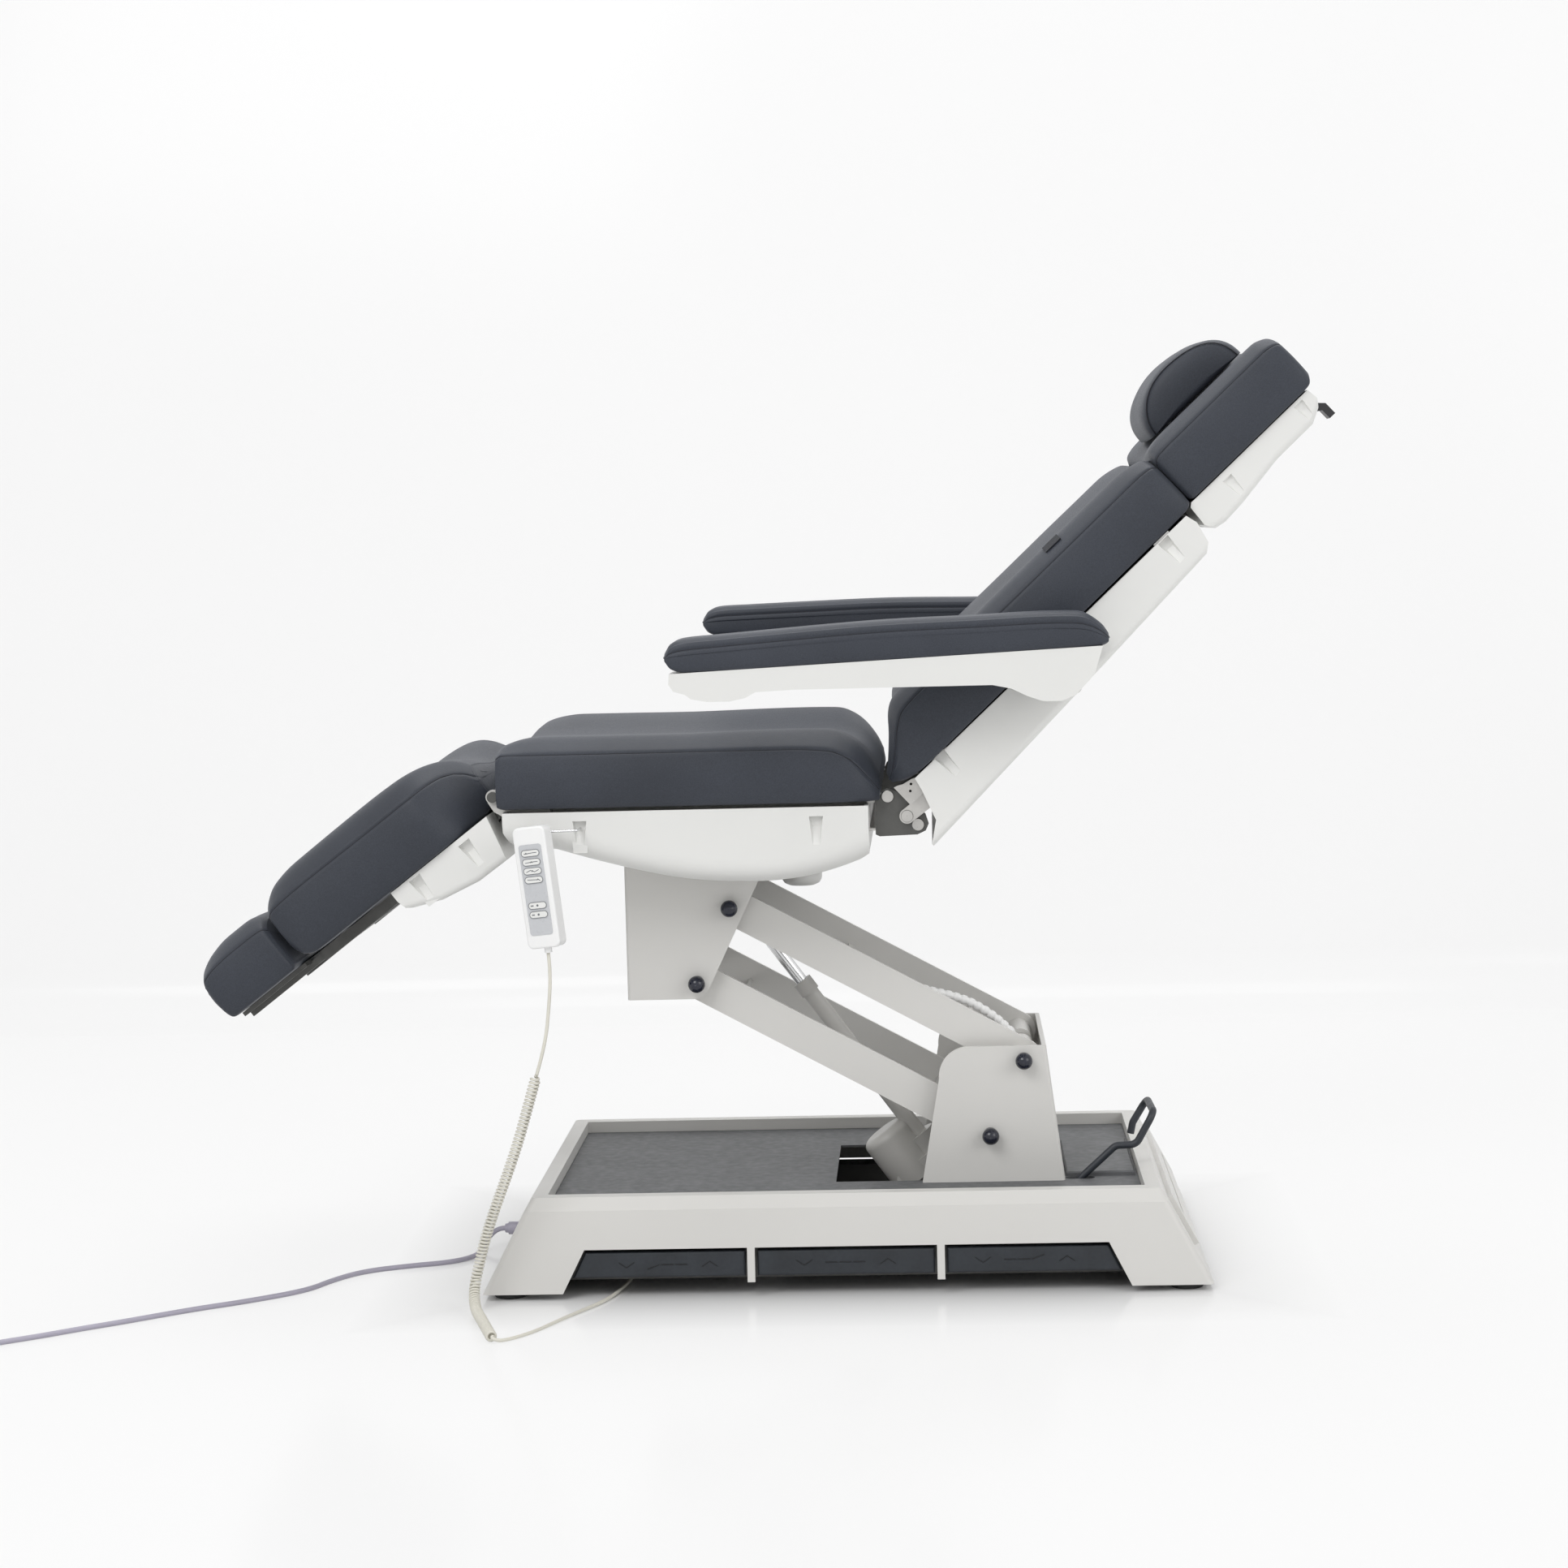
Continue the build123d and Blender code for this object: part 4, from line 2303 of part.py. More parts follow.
with BuildPart() as handset_hook:
    add(swept_wire(placed(hook_points), hook_bend_radius, 2 * hook_wire_radius))
save(handset_hook, "handset_hook")


# Castor pedal: a wire loop with a hub on the chassis pin

castor_hub_points = (castor_y - castor_hub_length / 2, castor_y + castor_hub_length / 2)
hub_step = (castor_hub_radius - castor_pin_radius) / 2 + castor_pin_radius
castor_points = [
    (castor_x + hub_step * castor_shares[0][0], castor_y, castor_z + hub_step * castor_rise_share)
]
castor_points += [
    (castor_x + castor_reach * x, castor_y, castor_z + castor_rise * z) for x, z in castor_shares
]
castor_points += [
    (castor_x + castor_reach * x, castor_y + castor_loop_width, castor_z + castor_rise * z)
    for x, z in castor_return_shares
]

with BuildPart() as castor_pedal:
    add(swept_wire(placed(castor_points), castor_bend_radius, 2 * castor_wire_radius))
    add(disc(seat_plane, castor_x, castor_z, castor_hub_radius, (castor_hub_points,)))
    add(
        disc(seat_plane, castor_x, castor_z, castor_pin_radius + running_clearance, (castor_hub_points,)),
        mode=Mode.SUBTRACT,
    )
save(castor_pedal, "castor_pedal")


# Cords

with BuildPart() as mains_gland:
    with BuildSketch(gland_plane.offset(-gland_length / 2)):
        Circle(gland_radius)
    extrude(amount=gland_length / 2 + shell_wall)
    with BuildSketch(gland_plane.offset(shell_wall)):
        Circle(gland_radius - overrun)
    extrude(amount=shell_wall, taper=gland_radius)
save(mains_gland, "mains_gland")


def cord(name, route, diameter):
    """A free cord: straight runs joined by the widest tangent arcs that fit between them."""
    points = [Vector(*point) for point in placed(route)]
    radii = []
    for before, here, after in zip(points, points[1:], points[2:]):
        shorter = min((here - before).length, (after - here).length)
        turn = radians((here - before).get_angle(after - here))
        radii.append(cord_bend_share * shorter / tan(turn / 2))
    print(name, "radii", [round(radius, 1) for radius in radii])
    body = swept_wire(points, radii, diameter)
    length = sum((after - before).length for before, after in zip(points, points[1:]))
    print(name, "volume", round(body.volume), "route", round(length * pi * diameter**2 / 4))
    body.label = name
    export_step(body, f"parts/{name}.step")


cord("handset_lead", lead_route, lead_diameter)
cord("handset_tail", floor_route, lead_diameter)
cord("mains_cord", mains_route, mains_diameter)


def biarc(start, start_tangent, end, end_tangent):
    """Junction of two arcs that leave the start and reach the end along their tangents."""
    reach = end - start
    both = start_tangent + end_tangent
    bend = 2 * (1 - start_tangent.dot(end_tangent))
    ahead = reach.dot(both)
    if bend < curl_wire / 1e6:
        step = reach.dot(reach) / (2 * ahead)
    else:
        step = (-ahead + (ahead**2 + bend * reach.dot(reach)) ** 0.5) / bend
    return (start + end) / 2 + (start_tangent - end_tangent) * (step / 2), step


def wound(points, tangents, diameter, lead_in, lead_out):
    """One unbroken tube: a straight start, biarcs through the points and a straight end."""
    with BuildPart() as body:
        with BuildLine() as path:
            Line(points[0] - tangents[0] * lead_in, points[0])
            for here, way, there, onward in zip(points, tangents, points[1:], tangents[1:]):
                middle, step = biarc(here, way, there, onward)
                turned = (there - onward * step - here - way * step).normalized()
                TangentArc(here, middle, tangent=way)
                TangentArc(middle, there, tangent=turned)
            Line(points[-1], points[-1] + tangents[-1] * lead_out)
        wire = path.wire()
        with BuildSketch(Plane(origin=points[0] - tangents[0] * lead_in, z_dir=tangents[0])):
            Circle(diameter / 2)
        sweep(path=wire)
    return body.part


def least_gap(place_at, turns, diameter):
    """Smallest clear distance between one turn of a winding and the others."""
    steps = 24
    count = round(turns * steps)
    places = [place_at(turn * turns / count) for turn in range(count + 1)]
    gaps = [
        (places[here] - places[there]).length - diameter
        for here in range(count + 1)
        for there in range(here + steps // 2, min(here + 2 * steps, count + 1))
    ]
    return min(gaps)


def directions(place_at, turns):
    """Unit directions of a winding at places counted in turns."""
    nudge = 1e-4
    return [(place_at(turn + nudge) - place_at(turn - nudge)).normalized() for turn in turns]


# Spare mains cord: two spiral layers, in along the floor and out on top
mains_end = Vector(*placed(mains_route)[-1])
mains_way = (mains_end - Vector(*placed(mains_route)[-2])).normalized()
coil_pitch = mains_diameter + coil_gap
coil_middle_turn = coil_turns + coil_climb_turns / 2
coil_outer_radius = coil_inner_radius + coil_middle_turn * coil_pitch
coil_start = mains_end + mains_way * mains_diameter
coil_level = mains_diameter / 2 + seat_gap
coil_side = Vector(-mains_way.Y, mains_way.X, 0).normalized()
coil_centre = coil_start + coil_side * coil_outer_radius
coil_first_angle = atan2(-coil_side.Y, -coil_side.X)


def coil_place(turn):
    """Place on the spare coil after a number of turns."""
    climb = min(max((turn - coil_turns) / coil_climb_turns, 0), 1)
    radius = coil_inner_radius + coil_pitch * abs(turn - coil_middle_turn)
    angle = coil_first_angle + 2 * pi * turn
    rise = coil_level + coil_pitch * (climb - sin(2 * pi * climb) / (2 * pi))
    return Vector(coil_centre.X + radius * cos(angle), coil_centre.Y + radius * sin(angle), rise)


coil_quarters = [turn * coil_total_turns / coil_steps for turn in range(coil_steps + 1)]
coil_points = [coil_place(turn) for turn in coil_quarters]
coil_ways = directions(coil_place, coil_quarters)
coil_points[0], coil_ways[0] = coil_start, mains_way
mains_coil = wound(coil_points, coil_ways, mains_diameter, mains_diameter, coil_free_end)
print("mains_coil least gap", round(least_gap(coil_place, coil_total_turns, mains_diameter), 2))
mains_coil.label = "mains_coil"
export_step(mains_coil, "parts/mains_coil.step")

plug_plane = Plane(
    origin=coil_points[-1] + coil_ways[-1] * (coil_free_end + running_clearance),
    x_dir=Vector(-coil_ways[-1].Y, coil_ways[-1].X, 0),
    z_dir=coil_ways[-1],
)

with BuildPart() as mains_plug:
    for along, share in ((0, plug_neck_share), (plug_length / 3, 1), (plug_length, 1)):
        with BuildSketch(plug_plane.offset(along)):
            RectangleRounded(plug_width * share, plug_height * share, plug_height * share / 3)
    loft(ruled=True)
    with BuildSketch(plug_plane.offset(plug_length)):
        with Locations((-plug_pin_pitch / 2, 0), (plug_pin_pitch / 2, 0)):
            Circle(plug_pin_radius)
    extrude(amount=plug_pin_length)
save(mains_plug, "mains_plug")


# Curly cord: its centre line hangs from the handset's lead, lands and runs along the floor
with BuildLine() as curl_line:
    curl_centre = [Vector(*point) for point in placed(curl_route)]
    curl_bends = [
        cord_bend_share
        * min((here - before).length, (after - here).length)
        / tan(radians((here - before).get_angle(after - here)) / 2)
        for before, here, after in zip(curl_centre, curl_centre[1:], curl_centre[2:])
    ]
    FilletPolyline(*curl_centre, radius=curl_bends)
curl_wire_line = curl_line.wire()
curl_radius = (curl_diameter - curl_wire) / 2


def curl_place(turn):
    """Place on the curly cord after a number of curls."""
    share = min(max(turn / curl_count, 0), 1)
    centre = curl_wire_line.position_at(share)
    along = curl_wire_line.tangent_at(share)
    first = (Vector(1, 0, 0) - along * along.X).normalized()
    second = along.cross(first)
    angle = 2 * pi * turn
    return centre + first * (curl_radius * cos(angle)) + second * (curl_radius * sin(angle))


curl_halves = [half / 2 for half in range(1, 2 * curl_count)]
curl_points = [curl_place(turn) for turn in curl_halves]
curl_ways = directions(curl_place, curl_halves)
curl_ends = [curl_wire_line.position_at(share) for share in (0, 1)]
curl_end_ways = [curl_wire_line.tangent_at(share) for share in (0, 1)]
handset_coil = wound(
    [curl_ends[0] + curl_end_ways[0] * curl_wire, *curl_points, curl_ends[1] - curl_end_ways[1] * curl_wire],
    [curl_end_ways[0], *curl_ways, curl_end_ways[1]],
    curl_wire,
    curl_wire,
    curl_wire,
)
print("handset_coil least gap", round(least_gap(curl_place, curl_count, curl_wire), 2))
handset_coil.label = "handset_coil"
export_step(handset_coil, "parts/handset_coil.step")
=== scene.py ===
import json
import math
from math import cos, pi, radians, sin

import bpy
import numpy as np
from mathutils import Matrix, Vector


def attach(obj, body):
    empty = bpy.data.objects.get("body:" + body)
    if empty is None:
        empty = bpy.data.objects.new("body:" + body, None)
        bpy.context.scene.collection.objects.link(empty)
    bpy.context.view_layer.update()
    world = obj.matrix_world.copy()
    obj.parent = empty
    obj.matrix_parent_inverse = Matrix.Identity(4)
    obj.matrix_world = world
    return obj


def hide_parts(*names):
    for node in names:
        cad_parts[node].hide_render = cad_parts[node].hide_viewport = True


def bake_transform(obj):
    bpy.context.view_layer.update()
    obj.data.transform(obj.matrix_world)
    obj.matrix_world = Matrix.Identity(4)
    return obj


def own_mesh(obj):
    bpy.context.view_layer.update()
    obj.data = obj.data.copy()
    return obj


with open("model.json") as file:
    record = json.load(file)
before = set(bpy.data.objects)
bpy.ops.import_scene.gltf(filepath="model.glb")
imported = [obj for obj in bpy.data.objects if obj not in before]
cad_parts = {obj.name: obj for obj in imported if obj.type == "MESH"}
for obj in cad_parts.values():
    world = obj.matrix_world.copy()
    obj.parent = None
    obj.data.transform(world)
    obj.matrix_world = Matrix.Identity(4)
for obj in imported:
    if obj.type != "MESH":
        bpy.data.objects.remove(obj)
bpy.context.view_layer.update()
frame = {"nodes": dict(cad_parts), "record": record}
nodes = frame["nodes"]

bpy.context.scene.view_settings.view_transform = "Standard"

# Places are in millimetres from the middle of the base, as in the part's source. The foot end
# points to -x and the sitter's left to -y, and z is the height over the floor.
BASE_SHIFT = 78.4


def mm(x, y, z):
    """A place in millimetres as a point in metres."""
    return Vector(((x + BASE_SHIFT) / 1000, y / 1000, z / 1000))


class Section:
    """A section's own frame: along its line, across the chair, and out of its top."""

    def __init__(self, x, z, angle, y=0):
        self.x, self.y, self.z = x, y, z
        self.cos, self.sin = cos(radians(angle)), sin(radians(angle))

    def at(self, along, across, rise):
        return mm(
            self.x + along * self.cos - rise * self.sin,
            self.y + across,
            self.z + along * self.sin + rise * self.cos,
        )


# Each section starts at its hinge, and is turned as it is at rest
SEAT = Section(x=0, z=0, angle=0)
BACK = Section(x=68, z=652, angle=43)
LEG = Section(x=-450, z=663, angle=37.3)
PAD_LEFT = Section(x=288, z=818, angle=0, y=-352)
PAD_RIGHT = Section(x=288, z=818, angle=-2.4, y=352)


# Camera

CAMERA_PLACE = Vector((0.20684, -4.4795, 1.02286))
CAMERA_YAW, CAMERA_PITCH, CAMERA_ROLL = -0.046187, 0.082823, -0.026104
CAMERA_LENS, CAMERA_SENSOR = 74.53, 36


def aim(place, yaw, pitch, roll):
    """Camera matrix from a place and three turns, with the pitch down."""
    ahead = Vector((sin(yaw) * cos(pitch), cos(yaw) * cos(pitch), -sin(pitch)))
    right = Vector((cos(yaw), -sin(yaw), 0))
    up = right.cross(ahead)
    across = cos(roll) * right + sin(roll) * up
    over = -sin(roll) * right + cos(roll) * up
    turn = Matrix((across, over, -ahead)).transposed().to_4x4()
    return Matrix.Translation(place) @ turn


camera_data = bpy.data.cameras.new("camera")
camera_data.sensor_width = CAMERA_SENSOR
camera_data.lens = CAMERA_LENS
camera = bpy.data.objects.new("camera", camera_data)
bpy.context.scene.collection.objects.link(camera)
camera.matrix_world = aim(CAMERA_PLACE, CAMERA_YAW, CAMERA_PITCH, CAMERA_ROLL)
bpy.context.scene.camera = camera


# Materials

def shade(name, colour, roughness, metallic=0.0, specular=0.5):
    """A new material with its shader's plain values set."""
    material = bpy.data.materials.new(name)
    material.use_nodes = True
    tree = material.node_tree
    shader = tree.nodes["Principled BSDF"]
    shader.inputs["Base Color"].default_value = (*colour, 1)
    shader.inputs["Roughness"].default_value = roughness
    shader.inputs["Metallic"].default_value = metallic
    shader.inputs["Specular IOR Level"].default_value = specular
    return material, tree, shader


def place_nodes(tree, stretch=(1, 1, 1)):
    """Object coordinates, in metres, stretched along the axes."""
    coordinates = tree.nodes.new("ShaderNodeTexCoord")
    mapping = tree.nodes.new("ShaderNodeMapping")
    mapping.inputs["Scale"].default_value = stretch
    tree.links.new(coordinates.outputs["Object"], mapping.inputs["Vector"])
    return mapping.outputs["Vector"]


def noise(tree, vector, scale, detail, rough=0.5):
    """A noise texture's value."""
    texture = tree.nodes.new("ShaderNodeTexNoise")
    texture.inputs["Scale"].default_value = scale
    texture.inputs["Detail"].default_value = detail
    texture.inputs["Roughness"].default_value = rough
    tree.links.new(vector, texture.inputs["Vector"])
    return texture.outputs["Fac"]


def cells(tree, vector, scale):
    """Distance to the nearest cell's middle."""
    texture = tree.nodes.new("ShaderNodeTexVoronoi")
    texture.inputs["Scale"].default_value = scale
    tree.links.new(vector, texture.inputs["Vector"])
    return texture.outputs["Distance"]


def ranged(tree, value, low, high, start=0.3, end=0.7):
    """A value that runs from start to end, spread from low to high."""
    node = tree.nodes.new("ShaderNodeMapRange")
    node.inputs["From Min"].default_value = start
    node.inputs["From Max"].default_value = end
    node.inputs["To Min"].default_value = low
    node.inputs["To Max"].default_value = high
    tree.links.new(value, node.inputs["Value"])
    return node.outputs["Result"]


def arithmetic(tree, operation, *values):
    """One step of arithmetic on nodes' values and plain numbers."""
    node = tree.nodes.new("ShaderNodeMath")
    node.operation = operation
    for place, value in enumerate(values):
        if isinstance(value, (int, float)):
            node.inputs[place].default_value = value
        else:
            tree.links.new(value, node.inputs[place])
    return node.outputs[0]


def between(tree, value, first, second):
    """A colour between two, by a value."""
    node = tree.nodes.new("ShaderNodeMix")
    node.data_type = "RGBA"
    colour_a, colour_b, result = node.inputs[6], node.inputs[7], node.outputs[2]
    colour_a.default_value = (*first, 1)
    colour_b.default_value = (*second, 1)
    tree.links.new(value, node.inputs["Factor"])
    return result


def bump(tree, shader, heights):
    """A chain of bumps, each a height, a strength and a distance in metres."""
    normal = None
    for height, strength, distance in heights:
        node = tree.nodes.new("ShaderNodeBump")
        node.inputs["Strength"].default_value = strength
        node.inputs["Distance"].default_value = distance
        tree.links.new(height, node.inputs["Height"])
        if normal is not None:
            tree.links.new(normal, node.inputs["Normal"])
        normal = node.outputs["Normal"]
    tree.links.new(normal, shader.inputs["Normal"])


def tinted(colour, share):
    """A colour made lighter or darker by a share."""
    return tuple(min(1.0, channel * (1 + share)) for channel in colour)


# How much finer the ripples of gloss are than the patches of colour
PATCH_TO_RIPPLE = 6


def finish(name, colour, roughness, vary, patch, spread, grain, relief, depth, metallic=0.0,
           stretch=(1, 1, 1)):
    """Paint, plastic, rubber and metal: mottled colour and gloss over a fine surface relief.

    The colour drifts by vary and the roughness by spread, in patches of the scale patch. The
    relief has the scale grain, a strength, and a depth in metres.
    """
    material, tree, shader = shade(name, colour, roughness, metallic)
    vector = place_nodes(tree)
    broad = noise(tree, vector, patch, detail=4)
    middle = noise(tree, vector, patch * PATCH_TO_RIPPLE, detail=3)
    fine = noise(tree, place_nodes(tree, stretch), grain, detail=2)
    tree.links.new(
        between(tree, ranged(tree, broad, 0, 1), tinted(colour, -vary), tinted(colour, vary)),
        shader.inputs["Base Color"],
    )
    tree.links.new(
        ranged(tree, middle, roughness - spread, roughness + spread), shader.inputs["Roughness"]
    )
    bump(tree, shader, ((fine, relief, depth), (middle, relief, depth)))
    return material


def leather(name, colour):
    """Coated upholstery fabric: pebbled grain, soft sheen, slow colour drift and fine creases."""
    material, tree, shader = shade(name, colour, roughness=0.5, specular=0.32)
    vector = place_nodes(tree)
    drift = noise(tree, vector, 5.0, detail=5)
    speck = noise(tree, vector, 620.0, detail=2)
    pebbles = cells(tree, vector, 780.0)
    creases = noise(tree, vector, 26.0, detail=6, rough=0.6)
    tone = arithmetic(tree, "MULTIPLY_ADD", speck, 0.5, arithmetic(tree, "MULTIPLY", drift, 0.5))
    tree.links.new(
        between(tree, ranged(tree, tone, 0, 1, start=0.38, end=0.62),
                tinted(colour, -0.17), tinted(colour, 0.2)),
        shader.inputs["Base Color"],
    )
    tree.links.new(ranged(tree, speck, 0.43, 0.6), shader.inputs["Roughness"])
    bump(tree, shader, ((creases, 0.25, 0.002), (pebbles, 0.45, 0.00025), (speck, 0.2, 0.0001)))
    shader.inputs["Sheen Weight"].default_value = 0.07
    shader.inputs["Sheen Roughness"].default_value = 0.45
    shader.inputs["Sheen Tint"].default_value = (0.7, 0.75, 0.85, 1)
    return material


# The materials of the record's slots
BY_SLOT = {
    "frame_paint": finish(
        "paint_light", (0.69, 0.68, 0.655), roughness=0.4, vary=0.025, patch=3.0, spread=0.05,
        grain=700.0, relief=0.12, depth=0.00006),
    "deck_paint": finish(
        "paint_deck", (0.128, 0.132, 0.138), roughness=0.55, vary=0.1, patch=14.0, spread=0.08,
        grain=1100.0, relief=0.35, depth=0.0001),
    "dark_steel": finish(
        "steel_dark", (0.105, 0.105, 0.10), roughness=0.48, vary=0.14, patch=22.0, spread=0.08,
        grain=600.0, relief=0.2, depth=0.00008, metallic=0.35),
    "bright_steel": finish(
        "zinc_brushed", (0.52, 0.51, 0.49), roughness=0.34, vary=0.09, patch=40.0, spread=0.07,
        grain=700.0, relief=0.2, depth=0.00006, metallic=0.9, stretch=(1, 1, 0.06)),
    "chrome": finish(
        "chrome_rod", (0.74, 0.745, 0.75), roughness=0.24, vary=0.03, patch=30.0, spread=0.03,
        grain=900.0, relief=0.05, depth=0.00003, metallic=1.0, stretch=(0.1, 1, 1)),
    "shell": finish(
        "shell_white", (0.765, 0.765, 0.745), roughness=0.36, vary=0.018, patch=4.0, spread=0.05,
        grain=850.0, relief=0.16, depth=0.00008),
    "upholstery": leather("upholstery_slate", (0.037, 0.042, 0.054)),
    "pedal_rubber": finish(
        "rubber_pedal", (0.019, 0.023, 0.029), roughness=0.55, vary=0.2, patch=30.0, spread=0.08,
        grain=1000.0, relief=0.4, depth=0.00012),
    "slate_paint": finish(
        "paint_slate", (0.022, 0.026, 0.034), roughness=0.45, vary=0.12, patch=30.0, spread=0.08,
        grain=900.0, relief=0.25, depth=0.00008),
    "cap_black": finish(
        "cap_gloss", (0.012, 0.014, 0.026), roughness=0.16, vary=0.2, patch=40.0, spread=0.04,
        grain=800.0, relief=0.08, depth=0.00004),
    "foot_rubber": finish(
        "rubber_foot", (0.02, 0.02, 0.02), roughness=0.7, vary=0.25, patch=40.0, spread=0.1,
        grain=900.0, relief=0.4, depth=0.00015),
    "actuator_grey": finish(
        "actuator_grey", (0.58, 0.57, 0.545), roughness=0.38, vary=0.04, patch=12.0, spread=0.06,
        grain=800.0, relief=0.15, depth=0.00008),
    "handset_white": finish(
        "handset_white", (0.90, 0.90, 0.895), roughness=0.38, vary=0.02, patch=10.0, spread=0.05,
        grain=1200.0, relief=0.2, depth=0.00006),
    "keypad_film": finish(
        "keypad_film", (0.56, 0.57, 0.59), roughness=0.3, vary=0.03, patch=18.0, spread=0.05,
        grain=1400.0, relief=0.15, depth=0.00005),
    "cord_cream": finish(
        "cord_cream", (0.74, 0.72, 0.64), roughness=0.42, vary=0.04, patch=20.0, spread=0.06,
        grain=900.0, relief=0.25, depth=0.00008),
    "cord_grey": finish(
        "cord_grey", (0.41, 0.39, 0.47), roughness=0.45, vary=0.05, patch=16.0, spread=0.06,
        grain=900.0, relief=0.25, depth=0.00008),
    "lever_black": finish(
        "lever_black", (0.02, 0.02, 0.022), roughness=0.42, vary=0.2, patch=30.0, spread=0.08,
        grain=900.0, relief=0.3, depth=0.0001),
    "tab_dark": finish(
        "tab_weave", (0.018, 0.02, 0.025), roughness=0.75, vary=0.25, patch=90.0, spread=0.08,
        grain=1600.0, relief=0.6, depth=0.00015),
}

# Materials of small pieces that stand on a node of another colour
# Near-black thread along the cushions' and pillow's seams: the stitching, darkened as painted
# shade in the seams' grooves
thread_seam_shade = finish(
    "thread_seam_painted_shade", (0.012, 0.013, 0.018), roughness=0.7, vary=0.3, patch=200.0, spread=0.1,
    grain=2500.0, relief=0.5, depth=0.0001)
# Near black for the bottoms of the pedals' engraving: painted shade in the engraved recesses
engraving_painted_shade = finish(
    "engraving_painted_shade", (0.006, 0.007, 0.009), roughness=0.6, vary=0.2, patch=60.0, spread=0.08,
    grain=1500.0, relief=0.1, depth=0.00003)
key_print = finish(
    "key_print", (0.16, 0.17, 0.18), roughness=0.5, vary=0.1, patch=60.0, spread=0.06,
    grain=1500.0, relief=0.1, depth=0.00003)
key_face = finish(
    "key_face", (0.82, 0.82, 0.80), roughness=0.34, vary=0.02, patch=20.0, spread=0.05,
    grain=1400.0, relief=0.15, depth=0.00005)

# Widths of the hard pieces' rounded edges, in metres
EDGE_WIDTH = {
    "base_cover": 0.0025,
    "lift_post": 0.0012,
    "head_bracket": 0.0012,
    "upper_arms": 0.0015,
    "lower_arms": 0.0015,
    "seat_shell": 0.0018,
    "back_shell": 0.0018,
    "leg_shell": 0.0018,
    "head_shell": 0.0018,
    "armrest_shell_left": 0.0035,
    "armrest_shell_right": 0.0035,
    "handset": 0.0012,
}
OTHER_EDGE_WIDTH = 0.0006
EDGE_ANGLE = radians(42)

# Nodes that pieces of this script replace
REPLACED = (
    "seat_cushion", "back_cushion", "head_cushion", "leg_cushion", "foot_cushion", "pillow",
    "armrest_pad_left", "armrest_pad_right", "handset_lead", "handset_coil", "handset_tail",
    "mains_cord", "mains_coil",
)

for entry in frame["record"]["subparts"]:
    node = nodes[entry["node"]]
    material = BY_SLOT[entry["material_slot"]]
    if not node.material_slots:
        node.data.materials.append(material)
    for place in node.material_slots:
        place.material = material
    if entry["node"] not in REPLACED:
        rounding = node.modifiers.new("edges", "BEVEL")
        rounding.width = EDGE_WIDTH.get(entry["node"], OTHER_EDGE_WIDTH)
        rounding.segments = 2
        rounding.limit_method = "ANGLE"
        rounding.angle_limit = EDGE_ANGLE


# Meshes and curves

def new_mesh(name, points, faces, body, slot, material=None, smooth=True):
    """A mesh object on a body, in its slot's material where no other is given."""
    mesh = bpy.data.meshes.new(name)
    mesh.from_pydata([tuple(point) for point in points], [], faces)
    mesh.update()
    mesh.materials.append(material or BY_SLOT[slot])
    for face in mesh.polygons:
        face.use_smooth = smooth
    piece = bpy.data.objects.new(name, mesh)
    bpy.context.scene.collection.objects.link(piece)
    if body is not None:
        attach(piece, body)
    return piece


def ring_faces(count, size, turned=False):
    """Faces through rings of points, and one over each end; turned for rings wound backwards."""
    faces = []
    for low in range(0, (count - 1) * size, size):
        high = low + size
        for step in range(size):
            turn = (step + 1) % size
            corners = (low + step, low + turn, high + turn, high + step)
            faces.append((corners[0], *corners[:0:-1]) if turned else corners)
    first, last = tuple(range(size)), tuple(range((count - 1) * size, count * size))
    return faces + ([first, last[::-1]] if turned else [first[::-1], last])


def nurbs(name, points, radius=0.0):
    """A smooth open curve with these control points."""
    data = bpy.data.curves.new(name, "CURVE")
    data.dimensions = "3D"
    spline = data.splines.new("NURBS")
    spline.points.add(len(points) - 1)
    for control, point in zip(spline.points, points):
        control.co = (*point, 1)
    spline.order_u = 3
    spline.use_endpoint_u = True
    data.resolution_u = 10
    data.bevel_depth = radius
    data.bevel_resolution = 5
    data.use_fill_caps = True
    piece = bpy.data.objects.new(name, data)
    bpy.context.scene.collection.objects.link(piece)
    return piece


def line_of(route):
    """Points along the smooth curve that has a route's points as its control points."""
    curve = nurbs("line", route)
    bpy.context.view_layer.update()
    mesh = bpy.data.meshes.new_from_object(curve)
    places = [vertex.co.copy() for vertex in mesh.vertices]
    bpy.data.curves.remove(curve.data)
    bpy.data.meshes.remove(mesh)
    return places


def evenly(points, count):
    """Places at equal distances along a line of points."""
    data = np.array([tuple(point) for point in points])
    steps = np.linalg.norm(np.diff(data, axis=0), axis=1)
    run = np.concatenate([[0], np.cumsum(steps)])
    wanted = np.linspace(0, run[-1], count)
    return [Vector([float(np.interp(place, run, data[:, axis])) for axis in range(3)])
            for place in wanted]


def length_of(points):
    """Length of a line of points."""
    return sum((there - here).length for here, there in zip(points, points[1:]))


def frames(line):
    """Each place of a line, with two directions across the line that don't twist along it."""
    side = None
    for index, place in enumerate(line):
        way = (line[min(index + 1, len(line) - 1)] - line[max(index - 1, 0)]).normalized()
        if side is None:
            side = way.orthogonal().normalized()
        side = (side - way * side.dot(way)).normalized()
        yield place, side, way.cross(side)


def tube(name, line, radius, body, slot, sides=8, material=None):
    """A round tube along a line; radius is one number, or a list with one for each place."""
    radii = radius if isinstance(radius, list) else [radius] * len(line)
    points = []
    for (place, side, other), reach in zip(frames(line), radii):
        for step in range(sides):
            angle = 2 * pi * step / sides
            points.append(place + reach * (side * cos(angle) + other * sin(angle)))
    return new_mesh(name, points, ring_faces(len(line), sides), body, slot, material)


# Cords

LEAD_DIAMETER = 0.0046
LEAD_PLACES, LEAD_SIDES = 60, 12
MAINS_DIAMETER = 0.007

